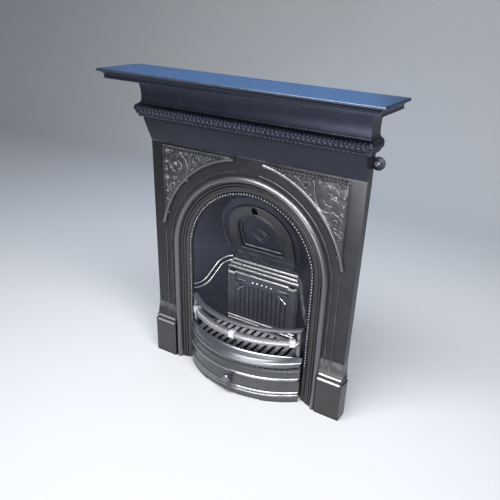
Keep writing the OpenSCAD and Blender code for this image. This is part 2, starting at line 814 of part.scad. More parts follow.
module register_plate() color(iron) placed() difference() {
    on_plate() {
        difference() {
            union() {
                along_y(0, plate_t) plate_outline();
                along_y(-field_t, eps) field_outline();
            }
            along_y(-far, far) flap_outline(0);
            along_y(-far, far) slot_outline(slot_w, slot_l);
        }
        // ears for the hinge rod
        both_sides() difference() {
            translate([ear_x - knuckle_w, plate_t - eps, rod_v - rod_r - 4])
                cube([knuckle_w, rod_w - plate_t + rod_r + 4, 2 * rod_r + 8]);
            translate([ear_x - knuckle_w - 1, rod_w, rod_v]) rotate([0, 90, 0])
                cylinder(r = rod_r, h = knuckle_w + 2);
        }
    }
    // cleared for the hood's front flange
    translate([-far, -far, 0]) cube([2 * far, far + insert_back + flange_t + joint_gap, far]);
    plate_bolt_places() rotate([90, 0, 0])
        translate([0, 0, -2 * plate_t]) cylinder(r = bolt_r + bolt_gap, h = 3 * plate_t);
}

module register_flap() color(iron) placed() on_plate() {
    rim_y = plate_t + joint_gap;
    face_y = 2;
    inner_x = ear_x - knuckle_w - 1 - knuckle_w;
    difference() {
        union() {
            along_y(rim_y, rim_y + flap_t) {
                flap_outline(flap_lap);
                // tongue behind the poker slot
                translate([-slot_w, flap_v]) square([2 * slot_w, slot_v + slot_l / 2 - flap_v]);
                translate([0, slot_v + slot_l / 2 - slot_w / 2]) circle(slot_w);
            }
            along_y(face_y + 3, rim_y + eps) flap_outline(-flap_gap);
            along_y(face_y, rim_y + eps) difference() {
                flap_outline(-flap_gap);
                flap_outline(-flap_gap - 9);
            }
            // plain lozenge
            along_y(face_y + 0.5, rim_y + eps) polygon([[-lozenge_x, flap_v], [0, flap_v + lozenge_v],
                [lozenge_x, flap_v], [0, flap_v - lozenge_v]]);
            // knuckles, each on an arm behind the rim
            both_sides() translate([inner_x, 0, 0]) {
                translate([0, rod_w, rod_v]) rotate([0, 90, 0]) cylinder(r = rod_r + 4, h = knuckle_w);
                translate([0, rim_y + flap_t - eps, rod_v])
                    cube([knuckle_w, rod_w - rim_y - flap_t + rod_r + 3.5, flap_low - rod_v + 6]);
            }
        }
        along_y(-1, far) slot_outline(slot_w - 2, slot_l - 2);
        translate([-far / 2, rod_w, rod_v]) rotate([0, 90, 0]) cylinder(r = rod_r + rod_gap, h = far);
        // the rim stops short of the ears
        both_sides() translate([ear_x - knuckle_w - 1, rim_y - 1, rod_v - rod_r - 12])
            cube([knuckle_w + 2, flap_t + 2, 2 * rod_r + 18]);
    }
}

module flap_rod() color(steel) placed() on_plate()
    translate([-ear_x - 4, rod_w, rod_v]) rotate([0, 90, 0]) cylinder(r = rod_r, h = 2 * ear_x + 8);

// ---- lip, grate and bars ----

module hearth_lip() color(polished) placed() difference() {
    nose_r = lip_z - lip_low - 16;
    inner_r = arc_r(lip_back_bow, 7);
    inner_cy = arc_cy(lip_back_bow, 7);
    intersection() {
        union() {
            difference() {
                translate([0, arc_cy(lip_bow, nose_end), 0]) rotate_extrude() intersection() {
                    translate([arc_r(lip_bow, nose_end) - nose_r, lip_low + 16]) circle(nose_r);
                    translate([0, lip_low]) square([far, far]);
                }
                translate([0, inner_cy, 0]) cylinder(r = inner_r, h = far);
                translate([-far, 8, 0]) cube(2 * far);
            }
            // ledge under the front of the grate, with a resting tab at each end
            translate([0, 0, lip_seat - ledge_bar]) linear_extrude(ledge_bar) {
                difference() {
                    translate([0, inner_cy]) circle(inner_r + 3);
                    translate([0, inner_cy]) circle(inner_r - 22);
                    translate([-far, 4]) square(2 * far);
                }
                both_sides() translate([tab_in, -10]) square([far, tab_y + 10 - joint_gap]);
            }
        }
        linear_extrude(far) inside_plan(joint_gap);
        translate([-far, -2 * lip_bow, 0]) cube([2 * far, far, far]);
    }
    both_sides() translate([lip_bolt_x, lip_bolt_y, 0]) cylinder(r = bolt_r + bolt_gap, h = far);
    // nothing of the end tabs comes forward of the lip's rear edge above the ledge
}

module grate_outline(m) intersection() {
    inner_r = arc_r(lip_back_bow, 7) - joint_gap;
    translate([0, arc_cy(lip_back_bow, 7)]) circle(inner_r - m);
    inside_plan(2 + m);
    translate([m - grate_half, -far]) square([2 * (grate_half - m), far + back_y - reed_r - 2.5 - m]);
}

module fire_grate() color(iron) placed() translate([0, 0, lip_seat]) linear_extrude(grate_t)
    difference() {
        grate_outline(0);
        intersection() {
            grate_outline(grate_margin);
            for (i = [0 : grate_slots - 1])
                translate([(i - (grate_slots - 1) / 2) * slot_pitch - grate_slot / 2, -far])
                    square([grate_slot, 2 * far]);
        }
    }

module front_bars() color(iron) placed() {
    cy = arc_cy(bar_bow, bars_back);
    r = arc_r(bar_bow, bars_back);
    post_y = cy - sqrt(r * r - post_x * post_x);
    intersection() {
        translate([0, cy, bar_z]) rotate_extrude() translate([r, 0]) circle(bar_r);
        linear_extrude(far) inside_plan(bars_clear);
        translate([-far, -far, 0]) cube([2 * far, far + bars_back + bar_r, far]);
    }
    intersection() {
        translate([0, cy, band_z]) rotate_extrude() translate([r - band_depth / 2 + 8, 0])
            polygon([[-8, 3], [-8, band_h], [0, band_h], [band_depth - 8, band_h - 6],
                [band_depth - 8, 2], [0, 0]]);
        linear_extrude(far) inside_plan(bars_clear);
        translate([-far, -far, 0]) cube([2 * far, far + bars_back, far]);
    }
    both_sides() translate([post_x - post / 2, post_y - post / 2, lip_seat + joint_gap])
        cube([post, post, bar_z - lip_seat]);
    // boss in the middle of the lower bar
    translate([-9, -bar_bow - band_depth + 6, band_z - 3]) cube([18, band_depth, band_h + 4]);
}

// ---- ash cover, knob and pan ----

module cover_arc(z, r) intersection() {
    translate([0, arc_cy(cover_bow, 0), z]) rotate_extrude() translate([arc_r(cover_bow, 0), 0]) circle(r);
    translate([14 - front_half, -far, -far]) cube([2 * front_half - 28, far, 2 * far]);
}

module ash_cover() color(iron) placed() difference() {
    r = arc_r(cover_bow, 0);
    cy = arc_cy(cover_bow, 0);
    pitch_angle = 20 / r * 180 / PI;
    union() {
        intersection() {
            translate([0, cy, 0]) difference() {
                cylinder(r = r, h = cover_top);
                translate([0, 0, -1]) cylinder(r = r - cover_t, h = far);
            }
            translate([-bow_half + 1, -far, 0]) cube([2 * bow_half - 2, far + insert_back, far]);
        }
        cover_arc(cover_bead_z, cover_bead);
        cover_arc(cover_low_z + 6, cover_bead * 0.8);
        cover_arc(cover_low_z - 6, cover_bead * 0.8);
        cover_arc(cover_top - cover_bead * 2.4, cover_bead * 0.6);
    }
    translate([-foot_x, -far, -1]) cube([2 * foot_x, 2 * far, foot_h + 1]);
    for (i = [-11 : 11]) translate([0, cy, 0]) rotate([0, 0, i * pitch_angle])
        translate([-notch_w / 2, -far, cover_top - notch_h]) cube([notch_w, far, notch_h + 1]);
    translate([0, cy, knob_z]) rotate([90, 0, 0]) cylinder(r = bolt_r + bolt_gap, h = far);
}

module ash_knob() color(polished) placed() translate([0, -cover_bow - joint_gap, knob_z]) rotate([90, 0, 0])
    difference() {
        rotate_extrude() union() {
            square([knob_r * 0.85, 3]);
            square([knob_r * 0.5, knob_l - knob_r]);
            intersection() {
                translate([0, knob_l - knob_r * 0.8]) circle(knob_r);
                translate([0, 3]) square([knob_r, knob_l - 3]);
            }
        }
        translate([0, 0, -1]) cylinder(r = bolt_r + bolt_gap, h = knob_l * 0.6);
    }

module knob_screw() color(steel) placed()
    translate([0, -cover_bow - knob_l * 0.5, knob_z]) rotate([-90, 0, 0])
        bolt(knob_l * 0.5 + cover_t + joint_gap);

module ash_pan() color(steel) placed() {
    back = back_y - pan_rim - joint_gap;
    difference() {
        union() {
            translate([-pan_w / 2, -pan_front, 0]) cube([pan_w, pan_front + back, pan_h]);
            // turned-out rim
            translate([-pan_w / 2 - pan_rim, -pan_front - pan_rim, pan_h - pan_t])
                cube([pan_w + 2 * pan_rim, pan_front + back + 2 * pan_rim, pan_t]);
        }
        translate([pan_t - pan_w / 2, pan_t - pan_front, pan_t])
            cube([pan_w - 2 * pan_t, pan_front + back - 2 * pan_t, pan_h]);
    }
    // drop handle fixed across the front
    translate([0, -pan_front + eps, pan_h / 2]) rotate([0, 0, 180])
        rotate_extrude(angle = 180) translate([pan_ring_r, 0]) circle(3);
}

// ---- fasteners ----

module insert_bolts() color(steel) placed() insert_bolt_places()
    translate([0, -2, 0]) rotate([-90, 0, 0]) bolt(seat_y + 2);

module chamber_bolts() color(steel) placed() chamber_bolt_places()
    translate([0, -4, 0]) rotate([-90, 0, 0]) bolt(flange_t + 4);

module plate_bolts() color(steel) placed() plate_bolt_places()
    translate([0, -flange_t, 0]) rotate([-90, 0, 0]) bolt(flange_t + plate_t);

module lip_bolts() color(steel) placed() both_sides()
    translate([lip_bolt_x, lip_bolt_y, lip_seat - 2 * ledge_bar]) bolt(2 * ledge_bar);

module cornice_bolts() color(steel) placed() for (x = cornice_bolt_xs)
    translate([x, 0, cornice_z - skin]) bolt(2 * skin);

module shelf_bolts() color(steel) placed() for (x = shelf_bolt_xs)
    translate([x, 0, overall_h - slab_t - 4]) mirror([0, 0, 1]) bolt(shelf_h - slab_t - 4 + skin);

front_casting();
cornice();
mantel_shelf();
insert_frame();
hood();
register_plate();
register_flap();
flap_rod();
left_cheek();
right_cheek();
fireback();
throat_ledge();
hearth_lip();
fire_grate();
front_bars();
ash_cover();
ash_knob();
knob_screw();
ash_pan();
cornice_bolts();
shelf_bolts();
insert_bolts();
chamber_bolts();
plate_bolts();
lip_bolts();
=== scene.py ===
import math

import bmesh
import bpy
from mathutils import Matrix, Vector


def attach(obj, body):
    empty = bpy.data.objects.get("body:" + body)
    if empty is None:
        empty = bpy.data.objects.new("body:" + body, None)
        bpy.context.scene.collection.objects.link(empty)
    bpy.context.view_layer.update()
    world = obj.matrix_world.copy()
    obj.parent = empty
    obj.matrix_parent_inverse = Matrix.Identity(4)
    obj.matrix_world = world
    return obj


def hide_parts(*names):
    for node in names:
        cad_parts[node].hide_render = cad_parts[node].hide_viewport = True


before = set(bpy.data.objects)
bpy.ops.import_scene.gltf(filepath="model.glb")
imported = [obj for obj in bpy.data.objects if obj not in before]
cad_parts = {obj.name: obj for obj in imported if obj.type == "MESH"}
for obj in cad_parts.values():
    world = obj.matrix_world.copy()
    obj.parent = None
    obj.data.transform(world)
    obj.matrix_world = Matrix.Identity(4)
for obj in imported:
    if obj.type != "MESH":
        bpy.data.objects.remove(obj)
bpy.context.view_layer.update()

# ---- Camera ----
# The photograph looks down on the fireplace from its right-hand side, from
# a little above the shelf and about two metres away.

photographer = bpy.data.objects.new("photographer", bpy.data.cameras.new("photographer"))
bpy.context.scene.collection.objects.link(photographer)
bpy.context.scene.camera = photographer
photographer.data.lens = 40.87
photographer.data.shift_x = -0.024
photographer.data.shift_y = 0.10
eye = Vector((0.9598, -1.5311, 1.3396))
look = Vector((-0.44181, 0.75892, -0.47837))
across = Vector((0.85246, 0.52128, 0.03968))
upward = across.cross(look)
photographer.matrix_world = Matrix((
    (across.x, upward.x, -look.x, eye.x),
    (across.y, upward.y, -look.y, eye.y),
    (across.z, upward.z, -look.z, eye.z),
    (0, 0, 0, 1)))

# ---- Studio ----
# A pale paper floor that curves up into a backdrop. Soft lamps stand low in
# front, overhead and high at the right, and a cool blue one behind the shelf;
# the surround is even and pale.

paper_front, paper_half, paper_top = -6.0, 8.0, 6.0
bend_start, bend_r = 2.2, 1.2
lamp_aim = Vector((0, 0, 0.6))

paper_line = [(paper_front, 0.0), (bend_start, 0.0)]
paper_line += [(bend_start + bend_r * math.sin(t), bend_r - bend_r * math.cos(t))
               for t in (math.radians(d) for d in range(6, 91, 6))]
paper_line.append((bend_start + bend_r, paper_top))
paper_sheet = bpy.data.meshes.new("studio_paper")
paper_sheet.from_pydata(
    [(x, y, z) for y, z in paper_line for x in (-paper_half, paper_half)], [],
    [(2 * i, 2 * i + 1, 2 * i + 3, 2 * i + 2) for i in range(len(paper_line) - 1)])
paper_sheet.polygons.foreach_set("use_smooth", [True] * len(paper_sheet.polygons))
studio_paper = bpy.data.objects.new("studio_paper", paper_sheet)
bpy.context.scene.collection.objects.link(studio_paper)
pale = bpy.data.materials.new("pale_paper")
pale.use_nodes = True
paper_shader = pale.node_tree.nodes["Principled BSDF"]
paper_shader.inputs["Base Color"].default_value = (0.47, 0.473, 0.478, 1)
paper_shader.inputs["Roughness"].default_value = 0.95
paper_sheet.materials.append(pale)

for label, place, wide, tall, watts, spread, tint in (
        ("lamp_front", (0.35, -2.9, 0.78), 2.6, 0.8, 25, 120, (1.0, 0.99, 0.98)),
        ("lamp_over", (0.25, -1.0, 2.65), 2.8, 0.7, 88, 150, (0.98, 0.99, 1.0)),
        ("lamp_right", (1.5, -1.0, 2.3), 0.9, 0.9, 14, 150, (0.98, 0.99, 1.0)),
        ("lamp_behind", (-1.35, 2.1, 2.55), 2.2, 1.7, 24, 180, (0.34, 0.62, 1.0))):
    lamp = bpy.data.lights.new(label, "AREA")
    lamp.shape, lamp.size, lamp.size_y = "RECTANGLE", wide, tall
    lamp.energy, lamp.spread, lamp.color = watts, math.radians(spread), tint
    stand = bpy.data.objects.new(label, lamp)
    stand.location = place
    stand.rotation_euler = (lamp_aim - stand.location).to_track_quat("-Z", "Y").to_euler()
    bpy.context.scene.collection.objects.link(stand)

surround = bpy.data.worlds.new("surround")
surround.use_nodes = True
surround.node_tree.nodes["Background"].inputs["Color"].default_value = (0.60, 0.64, 0.72, 1)
surround.node_tree.nodes["Background"].inputs["Strength"].default_value = 0.55
bpy.context.scene.world = surround
bpy.context.scene.view_settings.view_transform = "Standard"

# ---- Main front casting: face, side walls and frieze ----
# One grey iron casting, open at the back, 7 mm thick, with an arched
# opening, 35 mm deep side walls and a frieze that leans forward under the
# cornice. It is rubbed with black grate polish, which wears on high places;
# the lighter colour on those edges also serves as a painted highlight, and
# its hollows and creases get painted shade.

face_half = 405
iron_thick = 7
opening_r = 292.3
spring_z = 490
frieze_foot, frieze_head, frieze_reach = 866, 940, 35
face_lap = 6        # the face runs this far up behind the frieze
face_ahead = 4      # and stands this far ahead of the middle of the whole depth
let_in = 0.5        # a web runs this far into the walls that it joins
held_back = 0.2     # and stops this far short of their free edges


def corners_of(label):
    """A construction part's lowest and highest x, y and z, in millimetres, to a tenth."""
    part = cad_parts[label]
    corners = [part.matrix_world @ Vector(corner) for corner in part.bound_box]
    low, high = ([round(1000 * end(corner[axis] for corner in corners), 1) for axis in range(3)]
                 for end in (min, max))
    return (low[0], low[1] + face_ahead, low[2]), (high[0], high[1] + face_ahead, high[2])


_, (_, wall_back, neck_top) = corners_of("front_casting")


class Tone:
    """A socket in a finish. Sums and products of tones add Math nodes."""

    def __init__(self, tree, socket=None):
        self.tree, self.socket = tree, socket

    def node(self, kind, settings=(), sockets=(), output=0):
        """Add a node: its type, its settings, the values or tones of its sockets."""
        made = self.tree.nodes.new("ShaderNode" + kind)
        for name, value in dict(settings).items():
            if name == "stops":
                ramp = made.color_ramp.elements
                while len(ramp) < len(value):
                    ramp.new(1.0)
                for stop, (place, shade) in zip(ramp, value):
                    stop.position = place
                    stop.color = (shade, shade, shade, 1)
            else:
                setattr(made, name, value)
        for name, value in dict(sockets).items():
            if isinstance(value, Tone):
                self.tree.links.new(value.socket, made.inputs[name])
            else:
                made.inputs[name].default_value = value
        return Tone(self.tree, made.outputs[output])

    def maths(self, operation, first, second):
        """Add a Math node on two tones or numbers."""
        return self.node("Math", {"operation": operation}, {0: first, 1: second})

    def __add__(self, other):
        return self.maths("ADD", self, other)

    def __radd__(self, other):
        return self.maths("ADD", other, self)

    def __sub__(self, other):
        return self.maths("SUBTRACT", self, other)

    def __rsub__(self, other):
        return self.maths("SUBTRACT", other, self)

    def __mul__(self, other):
        return self.maths("MULTIPLY", self, other)

    def __rmul__(self, other):
        return self.maths("MULTIPLY", other, self)


def iron_finish(name, hollow_shade, body, worn_and_glint, rough, grain=1.0, metal=0.88, wear_and_glint=0.5, patchy=1.3, coat=0.0,
                coat_rough=0.24, hollow=0.35, shade_reach=0.012):
    """Cast iron under grate polish.

    The three colours are painted shade for hollows, creases and places under things; the iron's
    own colour in open places; and bare iron on rubbed edges, which also stands in for highlights.
    A higher grain makes the skin coarser, patchy the polish more uneven, and the wear setting bares
    the edges more and brightens their painted highlights. A place less open than hollow, from 0
    to 1, takes the painted shade in full, and shade_reach is how far off shelter is felt, in
    metres.
    """
    finish = bpy.data.materials.new(name)
    finish.use_nodes = True
    tree = finish.node_tree
    shader = tree.nodes["Principled BSDF"]
    start = Tone(tree)
    place = start.node("TexCoord", output=3)
    cloud = start.node("TexNoise", (), {"Vector": place, "Scale": 7, "Detail": 4, "Roughness": 0.6})
    rubbed = start.node("TexNoise", (), {"Vector": place, "Scale": 38, "Detail": 5, "Roughness": 0.65})
    sand = start.node("TexNoise", (), {"Vector": place, "Scale": 620, "Detail": 3})
    pits = start.node("TexVoronoi", (), {"Vector": place, "Scale": 260, "Randomness": 1.0})
    # Painted shade: ambient occlusion finds hollows, creases and places under or between parts, lays the
    # hollow colour on them and makes them a little rougher.
    shelter = start.node("AmbientOcclusion", {"samples": 6}, {"Distance": shade_reach}, output=1)
    # This finds sharp edges. They take the worn colour, which is bare iron where the polish wears and also
    # a painted highlight.
    high = start.node("AmbientOcclusion", {"samples": 6, "inside": True}, {"Distance": 0.004}, output=1)
    unshaded_share = start.node("ValToRGB", {"stops": ((hollow, 0.0), (0.95, 1.0))}, {0: shelter})
    brushed = start.node("ValToRGB", {"stops": ((0.44, 0.0), (0.62, 1.0))}, {0: rubbed})
    edge = start.node("ValToRGB", {"stops": ((0.30, 1.0), (0.75, 0.0))}, {0: high})
    mottle = cloud * 0.45 + rubbed * 0.35 + sand * 0.2
    polish = unshaded_share * ((mottle - 0.5) * patchy + 0.86)
    bare_and_glint = edge * (brushed * 0.5 + 0.5) * wear_and_glint
    colours = {"data_type": "RGBA"}
    tinted = start.node("Mix", colours, {0: polish, 6: (*hollow_shade, 1), 7: (*body, 1)}, output=2)
    bared = start.node("Mix", colours, {0: bare_and_glint, 6: tinted, 7: (*worn_and_glint, 1)}, output=2)
    tree.links.new(bared.socket, shader.inputs["Base Color"])
    shader.inputs["Metallic"].default_value = metal
    shader.inputs["Coat Weight"].default_value = coat
    shader.inputs["Coat Roughness"].default_value = coat_rough
    gloss = (1 - unshaded_share) * 0.16 + (mottle - 0.5) * (0.17 * patchy) + rough - edge * 0.05
    tree.links.new(gloss.socket, shader.inputs["Roughness"])
    relief = sand * 0.5 + rubbed * 0.6 + pits * 0.25
    cast = start.node("Bump", (), {"Strength": 0.55, "Distance": 0.00035 * grain, "Height": relief})
    tree.links.new(cast.socket, shader.inputs["Normal"])
    return finish


blacked_iron = iron_finish("blacked_iron", (0.012, 0.012, 0.014), (0.058, 0.058, 0.063),
                           (0.25, 0.255, 0.27), 0.33)
# The frieze and the wall lugs are painted darker and bluer than the face: painted shade with a painted
# blue sky reflection.
frieze_shaded_iron = iron_finish("frieze_shaded_iron", (0.010, 0.011, 0.017), (0.044, 0.046, 0.066),
                          (0.22, 0.23, 0.27), 0.33)


def cast_piece(name, shape, finish, body="surround", instead_of=(), soft=0, sharp=34):
    """Make a piece of a shape in millimetres, and say what it rides on and stands for.

    soft rounds its edges by so many millimetres, and sharp is the angle from which an edge shows.
    """
    points, faces = shape
    mesh = bpy.data.meshes.new(name)
    mesh.from_pydata([(x / 1000, (y - face_ahead) / 1000, z / 1000) for x, y, z in points], [], faces)
    work = bmesh.new()
    work.from_mesh(mesh)
    bmesh.ops.recalc_face_normals(work, faces=work.faces)
    work.to_mesh(mesh)
    work.free()
    mesh.polygons.foreach_set("use_smooth", [True] * len(mesh.polygons))
    mesh.set_sharp_from_angle(angle=math.radians(sharp))
    mesh.materials.append(finish)
    piece = bpy.data.objects.new(name, mesh)
    bpy.context.scene.collection.objects.link(piece)
    if soft:
        rounding = piece.modifiers.new("cast_edges", "BEVEL")
        rounding.width = soft / 1000
        rounding.segments = 3
        rounding.angle_limit = math.radians(40)
        rounding.harden_normals = True
    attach(piece, body)
    if instead_of:
        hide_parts(*instead_of)
    return piece


def joined(*shapes):
    """Several shapes as one."""
    points, faces = [], []
    for more_points, more_faces in shapes:
        faces += [tuple(i + len(points) for i in face) for face in more_faces]
        points += more_points
    return points, faces


def mirrored(shape):
    """A shape's twin on the other side of the fireplace."""
    points, faces = shape
    return [(-x, y, z) for x, y, z in points], [face[::-1] for face in faces]


def both_sides(shape):
    """A shape and its twin."""
    return joined(shape, mirrored(shape))


def loft(rings, endless=False):
    """Skin from ring to ring of points, with both ends filled unless it is endless."""
    size = len(rings[0])
    points = [point for ring in rings for point in ring]
    faces = []
    for r in range(len(rings) if endless else len(rings) - 1):
        a, b = r * size, (r + 1) % len(rings) * size
        faces += [(a + i, a + (i + 1) % size, b + (i + 1) % size, b + i) for i in range(size)]
    if not endless:
        faces += [tuple(reversed(range(size))), tuple(range(len(points) - size, len(points)))]
    return points, faces


def arc(u, v, radius, start, end, steps):
    """Points on a circle round (u, v), from one angle in degrees to another."""
    turns = [math.radians(start + (end - start) * i / steps) for i in range(steps + 1)]
    return [(u + radius * math.cos(t), v + radius * math.sin(t)) for t in turns]


def cut_plate(outline, holes, front, thick, edge):
    """A flat upright plate with rounded edges: outline and holes are lists of (x, z)."""
    drawing = bpy.data.curves.new("drawing", "CURVE")
    drawing.dimensions = "2D"
    drawing.fill_mode = "BOTH"
    drawing.extrude = (thick / 2 - edge) / 1000
    drawing.bevel_depth = edge / 1000
    drawing.offset = -edge / 1000
    drawing.bevel_resolution = 2
    for line in (outline, *holes):
        spline = drawing.splines.new("POLY")
        spline.points.add(len(line) - 1)
        for point, (x, z) in zip(spline.points, line):
            point.co = (x / 1000, z / 1000, 0, 1)
        spline.use_cyclic_u = True
    blank = bpy.data.objects.new("drawing", drawing)
    flat = bpy.data.meshes.new_from_object(blank)
    work = bmesh.new()
    work.from_mesh(flat)
    bmesh.ops.remove_doubles(work, verts=work.verts, dist=0.00002)
    work.verts.index_update()
    points = [(v.co.x * 1000, front + thick / 2 - v.co.z * 1000, v.co.y * 1000) for v in work.verts]
    faces = [tuple(v.index for v in face.verts) for face in work.faces]
    work.free()
    bpy.data.objects.remove(blank)
    bpy.data.curves.remove(drawing)
    bpy.data.meshes.remove(flat)
    return points, faces


def box(x0, x1, y0, y1, z0, z1):
    """A block between two x, two y and two z."""
    return loft([[(x0, y0, z), (x1, y0, z), (x1, y1, z), (x0, y1, z)] for z in (z0, z1)])


face_top = frieze_foot + face_lap
face_line = [(-face_half, 0), (-face_half, face_top), (face_half, face_top), (face_half, 0)]
face_line += [(opening_r, 0)] + arc(0, spring_z, opening_r, 0, 180, 72) + [(-opening_r, 0)]
frieze = loft([[(-face_half, wall_back, z), (-face_half, -reach, z), (face_half, -reach, z),
                (face_half, wall_back, z), (face_half - iron_thick, wall_back, z),
                (face_half - iron_thick, iron_thick - reach, z),
                (iron_thick - face_half, iron_thick - reach, z), (iron_thick - face_half, wall_back, z)]
               for z, reach in ((frieze_foot, 0), (frieze_head, frieze_reach), (neck_top, frieze_reach))])
cast_piece("front_face", cut_plate(face_line, [], front=0, thick=iron_thick, edge=1.6), blacked_iron,
           instead_of=("front_casting",))
side_wall = box(face_half - iron_thick, face_half, iron_thick - 2, wall_back, 0, frieze_foot)
cast_piece("side_walls", both_sides(side_wall), blacked_iron)
frieze_flange = box(iron_thick - face_half - let_in, face_half - iron_thick + let_in,
                    iron_thick - frieze_reach - let_in, wall_back - held_back,
                    neck_top - iron_thick, neck_top - held_back)
cast_piece("frieze", frieze, frieze_shaded_iron, soft=1.5)
cast_piece("frieze_flange", frieze_flange, blacked_iron)

# ---- Wall lugs ----
# Two round ears at the back of the side walls, cast with the front. A screw
# through each one holds the fireplace to the wall.

lug_x, lug_z, lug_r, lug_hole, lug_front = 418, 918, 20, 4.5, 29
ring_r, ring_half = 9, 2.6


def circle(u, v, radius, count):
    """Points all the way round a circle."""
    return arc(u, v, radius, 0, 360 - 360 / count, count - 1)


lug = cut_plate(circle(lug_x, lug_z, lug_r, 72), [circle(lug_x, lug_z, lug_hole, 24)],
                front=lug_front, thick=wall_back - lug_front, edge=1.5)
lug_ring = loft([[(lug_x + u * math.cos(t), v, lug_z + u * math.sin(t))
                  for u, v in circle(ring_r, lug_front + let_in, ring_half, 12)]
                 for t in (math.radians(d) for d in range(0, 360, 10))], endless=True)
cast_piece("wall_lugs", both_sides(joined(lug, lug_ring)), frieze_shaded_iron)

# ---- Plinths ----
# The two feet of the front casting stand forward as blocks, each with two
# beads and a ledge above it, then a slope back to the face. They are hollow
# behind.

plinth_in, plinth_front, plinth_side, block_top, slope_top = 317.5, 16.5, 9, 142, 228
low_bead_z, low_bead_out, low_bead_r = 148, 13.5, 4.5
high_bead_z, high_bead_out, high_bead_r = 166, 8.25, 4.2
glint_beads = ((low_bead_z, 13.6, 4.6), (high_bead_z, 8.3, 4.3))
low_ledge, high_ledge = 0.64, 0.42

# A step is a height, and how far out it stands as a share of the block's reach.
plinth_steps = [(0, 1), (block_top - 0.1, 1), (block_top, 0.99)]
plinth_steps += [(z, (low_bead_out + reach) / plinth_front)
                 for reach, z in arc(0, low_bead_z, low_bead_r, -80, 90, 8)]
plinth_steps += [(154, low_ledge), (161.8, low_ledge)]
plinth_steps += [(z, (high_bead_out + reach) / plinth_front)
                 for reach, z in arc(0, high_bead_z, high_bead_r, -80, 90, 8)]
plinth_steps += [(172, high_ledge), (slope_top, 0.012)]


def plinth_ring(z, out):
    """A ring round the foot's outside and back along its hollow inside; out is a share."""
    block = z < block_top
    outer_x = face_half + plinth_side - iron_thick if block else face_half - iron_thick
    inner_y = iron_thick - plinth_front if block else iron_thick
    edge_x, edge_y = face_half + out * plinth_side, -out * plinth_front
    return [(plinth_in, wall_back, z), (plinth_in, edge_y, z), (edge_x, edge_y, z),
            (edge_x, wall_back, z), (outer_x, wall_back, z), (outer_x, inner_y, z),
            (plinth_in + iron_thick, inner_y, z), (plinth_in + iron_thick, wall_back, z)]


plinth_ceiling = box(plinth_in + iron_thick - let_in, face_half - iron_thick + let_in,
                     iron_thick - let_in, wall_back - held_back,
                     slope_top - iron_thick, slope_top - held_back)
block_lid = joined(
    box(face_half - iron_thick - let_in, face_half + plinth_side - iron_thick + let_in,
        iron_thick - plinth_front, wall_back - held_back,
        block_top - iron_thick, block_top - held_back),
    box(plinth_in + iron_thick - let_in, face_half - iron_thick,
        iron_thick - plinth_front, iron_thick - let_in,
        block_top - iron_thick, block_top - held_back))
# Painted lighter than the face's blacking: a lit copy of it for the plinths and the insert mouldings.
plinth_lit_iron = iron_finish("plinth_lit_iron", (0.018, 0.018, 0.019), (0.088, 0.088, 0.091),
                          (0.28, 0.285, 0.3), 0.33)
cast_piece("plinths", both_sides(loft([plinth_ring(*step) for step in plinth_steps])),
           plinth_lit_iron, soft=0.8)
# Near-white iron for raised lines rubbed bare, painted brighter still as highlights.
rubbed_glint_iron = iron_finish("rubbed_glint_iron", (0.10, 0.10, 0.105), (0.56, 0.565, 0.58),
                          (0.80, 0.80, 0.80), 0.27, grain=0.1, metal=0.95, patchy=0.4)
# Bright copies of the two beads across the front only: a painted highlight, with the returns left dark.
plinth_beads = [loft([[(x, v - reach, u) for u, v in circle(z, 0, radius, 20)]
                      for x in (plinth_in + 4, face_half - let_in)])
                for z, reach, radius in glint_beads]
cast_piece("plinth_beads", both_sides(joined(*plinth_beads)), rubbed_glint_iron, sharp=60)
cast_piece("plinth_flanges", both_sides(joined(plinth_ceiling, block_lid)), blacked_iron)

# ---- Arch mouldings ----
# Beads cast on the face: a broad half-round that is kept bright round the
# opening, a fine one outside it, and two upright lines above the plinths.

band_r, band_half, band_reach = 305.8, 12.2, 14
fine_r, fine_half, fine_reach, fine_stop = 331, 2.5, 3, 83
line_x, line_top = 355, 550
soft_flanks = 1.25

burnished_iron = iron_finish("burnished_iron", (0.024, 0.024, 0.028), (0.14, 0.141, 0.152),
                             (0.36, 0.37, 0.40), 0.37, grain=0.2, metal=0.92, patchy=0.6,
                             coat=1.0, coat_rough=0.33)


def sweep(profile, stations):
    """Carry a profile of (out, depth) along stations of (x, z, out's x, out's z)."""
    return loft([[(x + u * dx, v, z + u * dz) for u, v in profile] for x, z, dx, dz in stations])


def round_arch(start, end, steps=72):
    """Stations round the arch, from one angle in degrees to another."""
    turns = [math.radians(start + (end - start) * i / steps) for i in range(steps + 1)]
    return [(0, spring_z, math.cos(t), math.sin(t)) for t in turns]


def bead(middle, half, reach, base=0.0, power=1.0):
    """A half-round bead's profile, let 1 mm into its ground; a power over 1 flattens its flanks."""
    turns = [(math.cos(t), math.sin(t)) for t in (math.pi * i / 20 for i in range(1, 20))]
    crown = [(middle + half * math.copysign(abs(c) ** power, c), base - reach * sn ** power)
             for c, sn in turns]
    return crown + [(middle - half, base + 1), (middle + half, base + 1)]


arch_and_jambs = [(0, 0, 1, 0)] + round_arch(0, 180) + [(0, 0, -1, 0)]
cast_piece("arch_band", sweep(bead(band_r, band_half, band_reach, power=soft_flanks), arch_and_jambs),
           burnished_iron, sharp=50)
fine_bead = sweep(bead(fine_r, fine_half, fine_reach),
                  [(0, block_top, 1, 0)] + round_arch(0, fine_stop, 40))
upright_line = sweep(bead(line_x, fine_half, fine_reach), [(0, block_top, 1, 0), (0, line_top, 1, 0)])
cast_piece("arch_lines", both_sides(joined(fine_bead, upright_line)), blacked_iron)

# ---- Spandrel panels ----
# A low panel fills each corner over the arch. It has a bold bead along the
# arch, a plain one at the side and a twisted one along the top, all cast.

